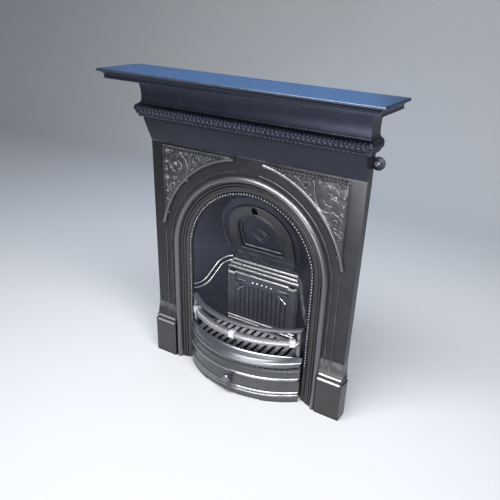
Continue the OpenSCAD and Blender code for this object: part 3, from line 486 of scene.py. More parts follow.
panel_in, panel_out, panel_top, panel_r, panel_thick = 58, 355, 860, 363, 2.5
rim_out, rim_half, rim_reach = 6.5, 7, 7.5              # the bold bead along the arch
side_half, side_reach, side_foot = 2.5, 3.5, 578        # the plain one at the side
twist_r, twist_pitch, twist_down = 7.2, 13, 6.4         # the twisted one along the top


def rope(start, end, radius, pitch, squash=1.0):
    """A twisted bead from point to point, two strands round, squashed in depth."""
    start, end = Vector(start), Vector(end)
    along = (end - start).normalized()
    ahead = Vector((0, -1, 0)) if abs(along.y) < 0.5 else Vector((math.copysign(1, start.x), 0, 0))
    side = along.cross(ahead)
    length = (end - start).length
    count = int(length / pitch * 7)
    rings = []
    for i in range(count + 1):
        run = length * i / count
        ring = []
        for k in range(14):
            turn = 2 * math.pi * k / 14
            swell = 0.5 + 0.5 * abs(math.cos(turn - math.pi * run / pitch)) ** 0.7
            ring.append(start + along * run + ahead * radius * swell * squash * math.cos(turn)
                        + side * radius * swell * math.sin(turn))
        rings.append([tuple(p) for p in ring])
    return loft(rings)


panel_start = math.degrees(math.acos(panel_out / panel_r))
panel_end = math.degrees(math.acos(panel_in / panel_r))
panel_line = arc(0, spring_z, panel_r, panel_start, panel_end, 48)
panel = cut_plate(panel_line + [(panel_in, panel_top), (panel_out, panel_top)], [],
                  front=-panel_thick, thick=panel_thick + 1, edge=0.9)
panel_arc = sweep(bead(panel_r + rim_out, rim_half, rim_reach, -panel_thick, soft_flanks),
                  round_arch(panel_start + 1, panel_end + 0.5, 56))
panel_side = sweep(bead(panel_out - side_half - 1, side_half, side_reach, -panel_thick),
                   [(0, side_foot, 1, 0), (0, panel_top - 8, 1, 0)])
cast_piece("spandrel_panels", both_sides(joined(panel, panel_side)), blacked_iron)
cast_piece("spandrel_arcs", both_sides(panel_arc), burnished_iron, sharp=50)
panel_rope = rope((panel_in + 3, -panel_thick, panel_top - twist_down),
                  (panel_out - 3, -panel_thick, panel_top - twist_down), twist_r, twist_pitch, 0.85)
cast_piece("spandrel_ropes", both_sides(panel_rope), blacked_iron, sharp=60)

# ---- Spandrel scrolls ----
# Traditional scrolling stems with leaves, cast in low relief on each panel.
# The largest scroll fills the outer corner and they shrink along the arch.

panel_face = -panel_thick


def stem(points, half_start, half_end, face=panel_face):
    """A raised stem along (x, z) points of a face, from one half thickness to another."""
    rings = []
    for i, (x, z) in enumerate(points):
        ax, az = points[max(i - 1, 0)]
        bx, bz = points[min(i + 1, len(points) - 1)]
        along = Vector((bx - ax, bz - az)).normalized()
        half = half_start + (half_end - half_start) * i / (len(points) - 1)
        ring = [(x + half * math.cos(t) * -along.y, face + 0.8 - half * 1.15 * math.sin(t),
                 z + half * math.cos(t) * along.x)
                for t in (math.pi * k / 8 for k in range(9))]
        rings.append(ring)
    return loft(rings)


def lobe(x, z, heading, length, half, reach):
    """One rounded leaf lobe lying on the panel, with a groove down its middle."""
    out = Vector((math.cos(heading), math.sin(heading)))
    side = Vector((-out.y, out.x))
    rings = []
    for i in range(9):
        t = i / 8
        width = half * (math.sin(math.pi * min(1, t * 0.92 + 0.06)) ** 0.7 + 0.04)
        rise = reach * (0.35 + 0.65 * math.sin(math.pi * min(1, 0.25 + t * 0.72)))
        ring = []
        for k in range(9):
            s = k / 4 - 1
            groove = 1 - 0.38 * math.exp(-(s / 0.22) ** 2)
            lift = rise * math.sqrt(max(0, 1 - s * s)) * groove
            ring.append((x + out.x * length * t + side.x * width * s, panel_face + 0.8 - lift,
                         z + out.y * length * t + side.y * width * s))
        rings.append(ring)
    return loft(rings)


def leaf(x, z, heading, length, lobes=5):
    """A fan of lobes from one point; heading in degrees."""
    shapes = []
    for i in range(lobes):
        spread = i - (lobes - 1) / 2
        reach = 1 - 0.17 * abs(spread)
        shapes.append(lobe(x, z, math.radians(heading + spread * 31), length * reach,
                           length * 0.17, 5.2 - abs(spread) * 0.5))
    return joined(*shapes)


def scroll(x, z, radius, start, winding, half):
    """A stem that winds into the point (x, z), with leaves along its inside and a bud at its end."""
    steps = max(18, int(abs(winding) / 9))
    curl = math.copysign(1, winding)

    def wound(share):
        """The stem's point at a share of its winding."""
        angle = math.radians(start + winding * share)
        reach = radius * (1 - 0.80 * share ** 0.9)
        return x + reach * math.cos(angle), z + reach * math.sin(angle)

    points = [wound(i / steps) for i in range(steps + 1)]
    bud_heading = math.radians(start + winding + 60 * curl)
    shapes = [stem(points, half, half * 0.55),
              lobe(*points[-1], bud_heading, radius * 0.42, radius * 0.17, 5.0)]
    for share in (0.24, 0.44, 0.64):
        inward = start + winding * share + 180 - 42 * curl
        shapes.append(leaf(*wound(share), inward, radius * 0.40 * (1.1 - share * 0.6), 3))
    return joined(*shapes)


# A scroll has its middle, radius, start, winding and half thickness, a stem its
# points and half thicknesses, and a leaf its foot, heading, length and lobes, where not five.
scroll_places = ((293, 797, 50, 235, -560, 3.4), (214, 826, 26, 350, 470, 2.6),
                 (160, 839, 13, 170, -400, 1.9), (319, 722, 26, 90, -470, 2.6),
                 (335, 674, 13, 270, 400, 1.9))
stem_lines = (([(262, 757), (250, 772), (243, 790), (240, 808), (240, 822)], 3.0, 2.6),
              ([(188, 829), (182, 838), (172, 841), (160, 852), (150, 851), (147, 840)], 2.4, 1.9),
              ([(319, 748), (308, 756), (298, 752), (286, 750), (270, 753), (262, 757)], 2.6, 3.0),
              ([(335, 661), (342, 650), (345, 634), (347, 618), (349, 602)], 1.9, 1.1),
              ([(318, 696), (324, 690), (329, 688), (335, 687)], 2.2, 1.9))
leaf_places = (
    (338, 848, 225, 22), (252, 848, 300, 20), (345, 752, 205, 21), (262, 757, 205, 20),
    (186, 849, 285, 13, 3), (345, 699, 200, 13, 3), (139, 842, 190, 13, 3), (123, 851, 200, 10, 3),
    (104, 851, 190, 9, 3), (346, 640, 240, 12, 3), (348, 620, 262, 11, 3), (232, 795, 200, 15, 3),
    (300, 716, 205, 15, 3), (276, 846, 262, 17), (312, 849, 285, 15), (228, 849, 265, 13, 3),
    (346, 806, 190, 17), (346, 778, 175, 15), (302, 742, 60, 13, 3), (292, 797, 20, 15),
    (214, 826, 200, 9, 3), (319, 722, 60, 9, 3), (202, 796, 70, 14, 3), (170, 822, 60, 10, 3),
    (281, 731, 60, 14, 3), (308, 690, 40, 12, 3), (321, 655, 40, 10, 3), (334, 612, 50, 8, 3),
    (120, 844, 200, 8, 3))

foliage = joined(*(scroll(*place) for place in scroll_places), *(stem(*line) for line in stem_lines),
                 *(leaf(*place) for place in leaf_places))
rubbed_iron = iron_finish("rubbed_iron", (0.012, 0.012, 0.014), (0.07, 0.072, 0.082),
                          (0.30, 0.31, 0.34), 0.31, grain=0.35, coat=0.6, hollow=0.5)
cast_piece("spandrel_scrolls", both_sides(foliage), rubbed_iron, sharp=70)

# ---- Cornice ----
# A second casting, open at the back, bolted on the front's neck: a fillet, a
# bold roll cast with leaves and tongues, a twisted bead under it, a tall cove.

_, (_, _, cornice_top) = corners_of("cornice")
cornice_inside = -28
fillet_steps = ((neck_top, frieze_reach, 1), (959, frieze_reach, 1), (960, 44, 6), (994, 44, 6),
                (994.2, 42.5, 8), (998.8, 42.5, 8))     # height, then how far out in front and aside
cove_low, cove_mid = 999, 1021
cove_front, cove_front_r, cove_side, cove_side_r = 36, 111.1, 4, 186
roll_z, roll_r, roll_front, roll_side, roll_turn, roll_back, roll_step = 977, 18, 39, 3, 84, 15, 0.9
tongue_pitch, slant_pitch, slant_share = 13, 17, 0.47
twist_z, twist_front, twist_side, front_twist_end, foot_twist_pitch = 957.5, -42.5, 7.5, 10, 15

# Painted darker and bluer than the face: painted shade with a painted blue sky reflection. The shelf's
# underside and ribs and the register apron take it too.
cornice_shaded_iron = iron_finish("cornice_shaded_iron", (0.010, 0.012, 0.020), (0.045, 0.050, 0.074),
                           (0.26, 0.28, 0.32), 0.34)


def three_sides(z, front, side):
    """A ring round the front and the two returns, hollow behind."""
    inner_x = face_half - iron_thick
    return [(-face_half - side, wall_back, z), (-face_half - side, -front, z),
            (face_half + side, -front, z), (face_half + side, wall_back, z),
            (inner_x, wall_back, z), (inner_x, cornice_inside, z),
            (-inner_x, cornice_inside, z), (-inner_x, wall_back, z)]


cornice_rings = [three_sides(*step) for step in fillet_steps]
for i in range(17):
    z = cove_low + (cornice_top - cove_low) * i / 16
    front = cove_front + cove_front_r - math.sqrt(cove_front_r ** 2 - (z - cove_mid) ** 2)
    side = cove_side + cove_side_r - math.sqrt(cove_side_r ** 2 - (z - cove_mid) ** 2)
    cornice_rings.append(three_sides(z, front, side))
cornice_body = loft(cornice_rings)
cornice_flanges = joined(*(
    box(iron_thick - face_half - let_in, face_half - iron_thick + let_in,
        cornice_inside - let_in, wall_back - held_back, low, high)
    for low, high in ((neck_top + held_back, neck_top + iron_thick),
                      (cornice_top - iron_thick, cornice_top - held_back))))
cast_piece("cornice_body", cornice_body, cornice_shaded_iron, instead_of=("cornice",))
cast_piece("cornice_flanges", cornice_flanges, cornice_shaded_iron)


def leaf_relief(run, turn):
    """Height of the roll's ornament: run in mm along it, turn from 0 at its foot to 1 at its top."""
    if turn > slant_share + 0.05:       # upright tongues, each with a rounded head and a groove
        up = (turn - slant_share - 0.05) / (0.95 - slant_share)
        across = abs((run / tongue_pitch) % 1 - 0.5) * 2
        edge = 0.86 * min(1, math.sin(math.pi * min(1, up * 0.93 + 0.05)) * 2.2) ** 0.5
        body = max(0, 1 - (across / max(edge, 0.05)) ** 2) ** 0.5
        return body * 2.1 - 0.6 * math.exp(-(across / 0.16) ** 2) * (body > 0) - 1.1
    if turn > slant_share:              # a plain fillet under the tongues
        return 0.6
    up = turn / slant_share             # slanted leaves that overlap along the foot
    across = ((run + up * 15) / slant_pitch) % 1
    body = math.sin(math.pi * across) ** 0.6 * math.sin(math.pi * min(1, up * 0.9 + 0.08)) ** 0.5
    return body * 4.6 - 2.6


left, right, front_line = -face_half - roll_side, face_half + roll_side, -roll_front
side_count = int((wall_back - front_line) / roll_step)
front_count = int((right - left) / roll_step)
roll_stations = [(left, wall_back + (front_line - wall_back) * i / side_count, -1, 0)
                 for i in range(side_count)]
roll_stations.append((left, front_line, -1, -1))
roll_stations += [(left + (right - left) * i / front_count, front_line, 0, -1)
                  for i in range(1, front_count)]
roll_stations.append((right, front_line, 1, -1))
roll_stations += [(right, front_line + (wall_back - front_line) * i / side_count, 1, 0)
                  for i in range(1, side_count + 1)]
roll_rings, roll_run = [], 0
for i, (x, y, dx, dy) in enumerate(roll_stations):
    if i:
        roll_run += math.hypot(x - roll_stations[i - 1][0], y - roll_stations[i - 1][1])
    ring = []
    for k in range(25):
        turn = k / 24
        angle = math.radians(-roll_turn + 2 * roll_turn * turn)
        reach = roll_r + leaf_relief(roll_run, turn)
        ring.append((x + dx * reach * math.cos(angle), y + dy * reach * math.cos(angle),
                     roll_z + reach * math.sin(angle)))
    ring += [(x, y, roll_z + roll_back), (x, y, roll_z - roll_back)]
    roll_rings.append(ring)
cast_piece("cornice_roll", loft(roll_rings), cornice_shaded_iron, sharp=75)
foot_ropes = [rope((-face_half - front_twist_end, twist_front, twist_z),
                   (face_half + front_twist_end, twist_front, twist_z), 7, foot_twist_pitch)]
foot_ropes += [rope((x, wall_back - 1, twist_z), (x, twist_front, twist_z), 6, foot_twist_pitch)
               for x in (-face_half - twist_side, face_half + twist_side)]
cast_piece("cornice_rope", joined(*foot_ropes), cornice_shaded_iron, sharp=60)

# ---- Mantel shelf ----
# A separate casting that lies on the cornice, screwed up from below. It has
# a fascia, a small hollow moulding and a round-nosed edge; it is hollow below.

(_, shelf_front, shelf_foot), (shelf_half, shelf_back, _) = corners_of("mantel_shelf")
shelf_in = 17           # the fascia stands this far in from the shelf's edge
shelf_under = 20.5      # up to here it takes the cornice's colour; above, the top gets a painted blue sky reflection
rib_places, rib_half, rib_inset, rib_foot, rib_top = (-300, -110, 110, 300), 9.5, 24.5, 0.4, 21.5

# The shelf top's bluish colour and blue specular tint are a painted reflection of a blue sky.
shelf_sky_tinted_iron = iron_finish("shelf_sky_tinted_iron", (0.02, 0.022, 0.034), (0.085, 0.10, 0.145),
                         (0.30, 0.32, 0.36), 0.28, grain=0.7, wear_and_glint=0.25)
shelf_sky_tinted_iron.node_tree.nodes["Principled BSDF"].inputs["Specular Tint"].default_value = (0.46, 0.66, 0.92, 1)


def shelf_ring(out, height):
    """A ring round the shelf at a height over its foot, so far out from the fascia."""
    half, front = shelf_half - shelf_in + out, shelf_front + shelf_in - out
    back, z = shelf_back - max(0, -out), shelf_foot + height
    return [(-half, back, z), (-half, front, z), (half, front, z), (half, back, z)]


shelf_line = [(-9, 21), (-7, 19), (-7, 0.6), (-6.4, 0), (-0.6, 0), (1.4, 0.8), (1.9, 2.2), (1.4, 3.6)]
shelf_line += [(0, 4), (0, 8.4)] + arc(12.6, 8.4, 12.6, 180, 90, 8)[1:]
shelf_line += arc(12.5, 25.5, 4.5, -78, 90, 10) + [(8, 30)]
shelf_ribs = joined(*(box(x - rib_half, x + rib_half, shelf_front + rib_inset, shelf_back - iron_thick,
                          shelf_foot + rib_foot, shelf_foot + rib_top)
                      for x in rib_places))
shelf = cast_piece("shelf", loft([shelf_ring(*step) for step in shelf_line]), shelf_sky_tinted_iron,
                   instead_of=("mantel_shelf",))
shelf.data.materials.append(cornice_shaded_iron)
# Faces below shelf_under take the cornice's painted shade, those above the painted blue reflection.
for face in shelf.data.polygons:
    face.material_index = int(face.center.z * 1000 < shelf_foot + shelf_under)
cast_piece("shelf_ribs", shelf_ribs, cornice_shaded_iron)

# ---- Arched insert ----
# The inner arch is a casting of its own, bolted behind the face. It steps in
# through two beads and a hollow to a string of pearls round the opening.

insert_profile = [(318, 7), (292, 7), (292, 3.6)]
insert_profile += [(287 + 4.5 * c, 3.6 - 3.2 * t) for c, t in arc(0, 0, 1, 0, 176, 12)]
insert_profile += [(281.2, 5)] + [(276.5 + 4 * c, 5.6 - 2.2 * t) for c, t in arc(0, 0, 1, 0, 176, 10)]
insert_profile += [(271.6, 8.4), (266, 8.8), (262, 10.4), (259.4, 12.6), (257.6, 14.2), (249.2, 14.6),
                   (247.6, 14.4), (247, 15.2), (247, 20), (275, 20), (279, 13), (318, 13)]
cast_piece("insert_mouldings", sweep(insert_profile, arch_and_jambs), plinth_lit_iron,
           instead_of=("insert_frame",))

pearl_r, pearl_ring_r, pearl_depth, pearl_pitch, pearl_foot = 4.2, 253, 12.6, 11.4, 150


def pearl(x, y, z, radius):
    """A small ball, open at the back where it meets the casting."""
    rings = []
    for a in (math.radians(d) for d in (7, 32, 60, 88, 120)):
        wide, deep = radius * math.sin(a), y - radius * math.cos(a)
        rings.append([(x + wide * math.cos(t), deep, z + wide * math.sin(t))
                      for t in (math.pi * k / 5 for k in range(10))])
    return loft(rings)


arch_count = round(math.pi * pearl_ring_r / pearl_pitch)
pearls = [pearl(pearl_ring_r * math.cos(math.pi * i / arch_count), pearl_depth,
                spring_z + pearl_ring_r * math.sin(math.pi * i / arch_count), pearl_r)
          for i in range(arch_count + 1)]
jamb_count = int((spring_z - pearl_foot) / pearl_pitch)
pearls += [pearl(side * pearl_ring_r, pearl_depth, spring_z - pearl_pitch * i, pearl_r)
           for side in (-1, 1) for i in range(1, jamb_count + 1)]
# A lighter polished iron. On the pearls and the cover's crowns its light colour is partly a painted
# highlight.
polished_iron = iron_finish("polished_iron", (0.08, 0.082, 0.09), (0.235, 0.24, 0.262),
                            (0.50, 0.51, 0.53), 0.24, grain=0.1, metal=0.95, patchy=0.3)
cast_piece("pearl_string", joined(*pearls), polished_iron, sharp=75)

# ---- Fire chamber ----
# Hood, register plate, cheeks and fireback are plain castings bolted behind
# the insert, and the flap is hinged in the plate. The fire has left them dull.

chamber_iron = iron_finish("chamber_iron", (0.012, 0.013, 0.02), (0.054, 0.057, 0.08),
                           (0.24, 0.245, 0.26), 0.40, grain=1.2, metal=0.8)
back_iron = iron_finish("back_iron", (0.012, 0.012, 0.016), (0.115, 0.118, 0.145),
                        (0.3, 0.3, 0.32), 0.38, metal=0.8)


def refinish(finish, *labels):
    """Give parts of the construction model a finish, in every slot they have."""
    for label in labels:
        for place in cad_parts[label].material_slots:
            place.material = finish


refinish(chamber_iron, "hood", "register_plate", "register_flap", "left_cheek", "right_cheek")
refinish(back_iron, "fireback")

# ---- Chamber reeds and studs ----
# Raised lines, cast on, that the brush rubs bare, painted brighter still as
# highlights. Each cheek has two swept reeds. The fireback has beads at its
# head and foot, five studs with a stroke at each side, and a stroke across
# each upper corner.

cheek_in_x, cheek_in_y, cheek_splay = 245, 20, 0.9632
cheek_turn = math.atan(cheek_splay)
sweep_low, sweep_r, sweep_slope, sweep_straight, sweep_gap = 342, 64, 55, 62, 18


def reed(points, half, face):
    """A raised line of one thickness along (x, z) points of a face."""
    return stem(points, half, half, face)


def swept_line(outside):
    """A reed's (distance in, height) line on a cheek: out of level, up a slope, level again."""
    first, second = sweep_r + outside, sweep_r - outside
    line = arc(0, sweep_low + sweep_r, first, -90, sweep_slope - 90, 16)
    up = (math.cos(math.radians(sweep_slope)), math.sin(math.radians(sweep_slope)))
    x, z = line[-1][0] + up[0] * sweep_straight, line[-1][1] + up[1] * sweep_straight
    line += arc(x + up[1] * second, z - up[0] * second, second, sweep_slope + 90, 90, 16)
    return line + [(line[-1][0] + 9, line[-1][1] - 0.3)]


def on_cheek(shape):
    """Lay a shape made on an upright face against the right cheek."""
    points, faces = shape
    along = (-math.sin(cheek_turn), math.cos(cheek_turn))
    return [(cheek_in_x + along[0] * x + along[1] * y, cheek_in_y + along[1] * x - along[0] * y, z)
            for x, y, z in points], faces


cheek_reeds = joined(*(on_cheek(stem(swept_line(outside), 3.8, 4.0, -0.9)) for outside in (0, sweep_gap)))
cast_piece("cheek_reeds", both_sides(cheek_reeds), rubbed_glint_iron)

back_face, stud_z, stud_pitch, stud_r = 115, 364, 20, 4.4
back_bead_z, back_bead_end, back_bead_half = (390, 196, 184), 148, 4.9
head_block = (115.3, 144.2, back_face - 9.6, back_face, 384.8, 395)
stroke_in, stroke_out, corner_stroke = 74, 106, [(75, 344), (107, 320)]

studs = [pearl(i * stud_pitch, back_face, stud_z, stud_r) for i in range(-2, 3)]
strokes = joined(reed([(stroke_in, stud_z), (stroke_out, stud_z)], 2.6, back_face - 0.9),
                 stem(corner_stroke, 2.2, 3.4, back_face - 2.9))
cast_piece("fireback_studs", joined(*studs, both_sides(strokes)), rubbed_glint_iron)
back_beads = [reed([(-back_bead_end, z), (back_bead_end, z)], back_bead_half, back_face)
              for z in back_bead_z]
cast_piece("fireback_beads", joined(*back_beads, both_sides(box(*head_block))), rubbed_glint_iron,
           sharp=50)

# ---- Register mouldings ----
# The leaning plate over the fire has a raised field with a bead round it and
# one round its flap, and an apron below. The flap has a raised border and a
# plain lozenge. All are cast on; a closed near-black cup behind the poker slot
# is painted shade that keeps the slot dark.

plate_y, plate_z, plate_lean = 140, 447, math.radians(21.7)
flap_half, flap_mid, flap_foot, flap_corner = 88, 138, 64, 8
bead_out, border_in, border_foot = 6, 8, 72
field_half, field_foot, apron_top = 130.5, 37, 57
hole_half, hole_foot = 91, 61
slot_mid, slot_straight, slot_hole_half = 243, 10, 12.6
cup_steps = ((10.4, 25), (10.4, 10.5), (13, 10.5), (12.4, 27))          # half width, and depth
apron_steps = ((126, -3, 1), (123, -2.4, 17), (119, -0.6, 35))          # half width, front, height

plate_iron = iron_finish("plate_iron", (0.016, 0.016, 0.020), (0.06, 0.062, 0.072),
                         (0.26, 0.26, 0.27), 0.42, grain=1.2, metal=0.8, wear_and_glint=0.14)
slot_shade_black = iron_finish("slot_shade_black", (0.006, 0.006, 0.006), (0.014, 0.014, 0.015),
                        (0.03, 0.03, 0.03), 0.7, metal=0.2, wear_and_glint=0.1)


def on_plate(shape):
    """Lay a shape made on an upright face against the leaning register plate."""
    points, faces = shape
    c, sn = math.cos(plate_lean), math.sin(plate_lean)
    return [(x, plate_y + y * c - z * sn, plate_z + y * sn + z * c) for x, y, z in points], faces


def flap_line(outside):
    """The flap's outline, or one so far outside it."""
    half, foot = flap_half + outside, flap_foot - outside
    line = arc(0, flap_mid, half, 0, 180, 48)
    line += arc(flap_corner - half, foot + flap_corner, flap_corner, 180, 270, 6)
    line += arc(half - flap_corner, foot + flap_corner, flap_corner, 270, 360, 6)
    return line + [(half, flap_mid - 1)]


def lozenge_line(half, tall):
    """A lozenge's outline, drawn on until the stem closes."""
    return [(0, flap_mid + tall), (half, flap_mid), (0, flap_mid - tall), (-half, flap_mid),
            (-1, flap_mid + tall - 1)]


def slot_line(half_wide):
    """The poker slot's outline, round at both ends."""
    return [(half_wide * math.cos(t),
             slot_mid + math.copysign(slot_straight, math.sin(t + 0.01)) + half_wide * math.sin(t))
            for t in (2 * math.pi * k / 24 for k in range(24))]


field_outline = [(field_half, field_foot)] + arc(0, flap_mid, field_half, 0, 180, 60)
field_outline.append((-field_half, field_foot))
keyhole = arc(0, flap_mid, hole_half, 0, 82, 24)
keyhole += arc(0, slot_mid + slot_straight, slot_hole_half, 0, 180, 12)
keyhole += arc(0, flap_mid, hole_half, 98, 180, 24) + [(-hole_half, hole_foot), (hole_half, hole_foot)]
field = cut_plate(field_outline, [keyhole], front=-4, thick=1.4, edge=0.5)
cast_piece("register_field", on_plate(field), plate_iron, sharp=10)

closed_line = field_outline + [(0, field_foot), (field_half, field_foot), (field_half, field_foot + 1)]
field_apron = box(-field_half, field_half, -3, 0.4, field_foot, apron_top)
plate_trim = joined(reed(flap_line(bead_out), 3.2, -3.2), reed(closed_line, 2.4, -3.2), field_apron)
cast_piece("register_bead", on_plate(plate_trim), plate_iron)

border_end = flap_half - 12
flap_trim = joined(reed(flap_line(-border_in), 3.6, 2.2),
                   reed(lozenge_line(37, 36), 2.2, 2.4), reed(lozenge_line(24, 23), 1.6, 2.4),
                   reed([(-border_end, border_foot), (border_end, border_foot)], 3.2, 2.2))
cast_piece("flap_trim", on_plate(flap_trim), chamber_iron, body="flap")

apron = loft([[(-half, front, z), (half, front, z), (half, 0.5, z), (-half, 0.5, z)]
              for half, front, z in apron_steps])
cast_piece("register_apron", on_plate(apron), cornice_shaded_iron)
# A closed near-black cup behind the poker slot: painted shade.
slot_cup = loft([[(x, depth, z) for x, z in slot_line(half_wide)] for half_wide, depth in cup_steps])
cast_piece("poker_slot_cup", on_plate(slot_cup), slot_shade_black, body="flap")

# ---- Throat ledge ----
# A casting that slopes back over the fireback to a flat top. Three reeds run
# across its slope, rubbed bare and painted bright as highlights; the rest is
# blacked.

ledge_front, ledge_low, ledge_slope = 115, 397, 23 / 49     # it leans back so much per height
ledge_profile = [(115, 395), (115, 398), (138, 447), (165, 447), (165, 436), (149, 436), (126, 395)]
reed_places = ((408, 4.6), (421, 4.8), (434.5, 4.8))


def ledge_ring(side, profile):
    """A (depth, height) profile where the ledge meets the cheek at one side."""
    return [(side * (cheek_in_x - 0.4 - (y - cheek_in_y) * cheek_splay), y, z) for y, z in profile]


ledge_reeds = []
for z, reed_r in reed_places:
    reed_y = ledge_front + (z - ledge_low) * ledge_slope
    ledge_reeds.append(loft([ledge_ring(side, circle(reed_y, z, reed_r, 20)) for side in (-1, 1)]))
cast_piece("ledge_body", loft([ledge_ring(side, ledge_profile) for side in (-1, 1)]), blacked_iron,
           instead_of=("throat_ledge",))
cast_piece("ledge_reeds", joined(*ledge_reeds), rubbed_glint_iron, sharp=50)

# ---- Bottom grate ----
# A loose slotted casting that lies on the lip and the fireback's rail; ash
# and raking keep it grey.

# The hollow colour is near black and reaches 35 mm, so the slots get painted shade and read black.
grate_iron = iron_finish("grate_iron", (0.003, 0.003, 0.0035), (0.36, 0.36, 0.375),
                         (0.5, 0.5, 0.51), 0.46, grain=1.5, metal=0.45, wear_and_glint=0.3, hollow=0.6,
                         shade_reach=0.035)
refinish(grate_iron, "fire_grate")

# ---- Hearth lip ----
# The bowed front edge of the basket: a casting with a raised rim, a small
# step and a round nose, rubbed bright with emery and bolted to the cheeks.

lip_r, lip_mid_y, lip_rear_r, lip_rear_y = 342.9, 234.9, 395.6, 317.6
lip_half, lip_foot = 244.5, 149.2
nose_r, nose_mid_z, nose_in, nose_z, rim_in, rim_z = 11.5, 165, 5.75, 175, 30, 203
lip_top = [(30, 203), (27.4, 203.4), (25.6, 202.6), (22, 200), (17.4, 196.2), (16.6, 193.8), (12.4, 189.8),
           (8.8, 184), (6.9, 179)]
lip_nose = [(nose_r - nose_r * math.cos(t), nose_mid_z + nose_r * math.sin(t))
            for t in (math.radians(d) for d in range(60, -91, -10))]
lip_under = [(15, 152.2), (15, lip_foot), (30, lip_foot)]


def rear_reach(turn):
    """Distance from the lip's front curve to its rear curve, along a radius."""
    gap = lip_rear_y - lip_mid_y
    cosine = math.cos(turn)
    return lip_r - (math.sqrt(lip_rear_r ** 2 - gap ** 2 + (gap * cosine) ** 2) - gap * cosine)


def lip_ring(share):
    """The lip's profile at a share of the way from its middle to its right end."""
    ring = []
    for d, z in lip_top + lip_nose + lip_under:
        turn = share * math.asin(lip_half / (lip_r - d))
        for _ in range(4):
            wide = rear_reach(turn)
            near = d if d <= nose_in else nose_in + (d - nose_in) * (wide - nose_in) / (rim_in - nose_in)
            turn = share * math.asin(lip_half / (lip_r - near))
        rim = nose_z + (rim_z - nose_z) * min(1, (wide / rim_in) ** 0.35)
        height = z if z <= nose_z else nose_z + (z - nose_z) * (rim - nose_z) / (rim_z - nose_z)
        ring.append(((lip_r - near) * math.sin(turn), lip_mid_y - (lip_r - near) * math.cos(turn), height))
    return ring


seat_low, seat_high, seat_in, seat_turn, tab_in, tab_back = 154, 166, 373.6, 37.8, 205, 47.7
seat_rings = []
for i in range(61):
    turn = math.radians(-seat_turn + 2 * seat_turn * i / 60)
    inner = max(seat_in, (lip_rear_y - 4) / math.cos(turn))
    seat_rings.append([(r * math.sin(turn), lip_rear_y - r * math.cos(turn), z)
                       for r, z in ((lip_rear_r + 3, seat_low), (lip_rear_r + 3, seat_high),
                                    (inner, seat_high), (inner, seat_low))])
tab_line = [(tab_in, -10), (lip_half, -10), (lip_half, cheek_in_y),
            (lip_half - (tab_back - cheek_in_y) * cheek_splay, tab_back), (tab_in, tab_back)]
lip_seat = joined(loft(seat_rings), both_sides(loft([[(x, y, z) for x, y in tab_line]
                                                     for z in (seat_low, seat_high)])))
emeried_iron = iron_finish("emeried_iron", (0.08, 0.082, 0.09), (0.215, 0.22, 0.238),
                           (0.50, 0.51, 0.53), 0.29, grain=0.03, metal=0.95, wear_and_glint=0.2, patchy=0.1)
cast_piece("lip_front", loft([lip_ring(-1 + i / 40) for i in range(81)]), emeried_iron,
           instead_of=("hearth_lip",), sharp=42)
cast_piece("lip_seat", lip_seat, blacked_iron)

# ---- Front bars ----
# Two bowed bars on a pair of posts, one casting that lifts off: a flat oval
# top bar, and a broad lower one with a boss at its middle and at each end.

bars_r, bars_mid_y, bars_half, low_bar_half = 350.1, 274.1, 236, 230
bars_front = bars_mid_y - bars_r
top_bar_z, top_bar_deep, top_bar_high = 300, 12.2, 6.4
post_x, post_half, post_front, post_foot = 226, 6, 0.7, 166.3
boss_half, boss_out, boss_in, boss_low, boss_high, boss_turn = 11, 16, 11.4, 240.4, 264.4, 36.2
gadroon_start, gadroon_length, gadroon_half, gadroon_rise, gadroon_lean = 5, 17, 2.9, 2.6, 8
gadroon_pitch, gadroon_last = 1.35, 25      # degrees, and how many stand on each side


def bowed(profile, radius, middle_y, half, steps=64):
    """Carry an (out, height) profile along a curve in plan, cut off square at each side."""
    rings = []
    for i in range(steps + 1):
        share = -1 + 2 * i / steps
        ring = []
        for out, z in profile:
            turn = share * math.asin(half / (radius + out))
            ring.append(((radius + out) * math.sin(turn), middle_y - (radius + out) * math.cos(turn), z))
        rings.append(ring)
    return loft(rings)


def turned(shape, degrees, middle_y):
    """Swing a shape round the upright line that a bow is struck from."""
    c, sn = math.cos(math.radians(degrees)), math.sin(math.radians(degrees))
    points, faces = shape
    return [(c * x - sn * (y - middle_y), middle_y + sn * x + c * (y - middle_y), z)
            for x, y, z in points], faces


oval = [(top_bar_deep * math.cos(t),
         top_bar_z + top_bar_high * math.copysign(abs(math.sin(t)) ** 0.8, math.sin(t)))
        for t in (2 * math.pi * k / 20 for k in range(20))]
low_bar = [(-12, 247), (-12, 259), (-10.8, 260.2), (-4.5, 260.4), (-3.6, 259.2), (0, 258.6), (8, 255.2),
           (12.6, 252.6), (14.4, 250), (14.4, 243.6), (12.6, 242), (-4, 242)]
boss = box(-boss_half, boss_half, bars_front - boss_out, bars_front + boss_in, boss_low, boss_high)
bosses = joined(*(turned(boss, degrees, bars_mid_y) for degrees in (-boss_turn, 0, boss_turn)))


def gadroon(degrees):
    """A slanted half-round rib across the lower bar's sloping top."""
    rings = []
    for share, size in ((0, 0.4), (0.14, 1), (0.5, 1), (0.86, 1), (1, 0.4)):
        ahead = gadroon_length * share - gadroon_start
        ground = min(259.6, 258.8 - 0.42 * ahead)
        rings.append([(gadroon_half * size * math.cos(t) + (share - 0.5) * gadroon_lean,
                       bars_front - ahead, ground + gadroon_rise * size * math.sin(t))
                      for t in (math.pi * k / 6 for k in range(7))])
    return turned(loft(rings), degrees, bars_mid_y)


bar_ribs = joined(*(gadroon(i * gadroon_pitch) for i in range(-gadroon_last, gadroon_last + 1)
                    if abs(i) > 1))
posts = both_sides(box(post_x - post_half, post_x + post_half, post_front, post_front + 2 * post_half,
                       post_foot, top_bar_z))
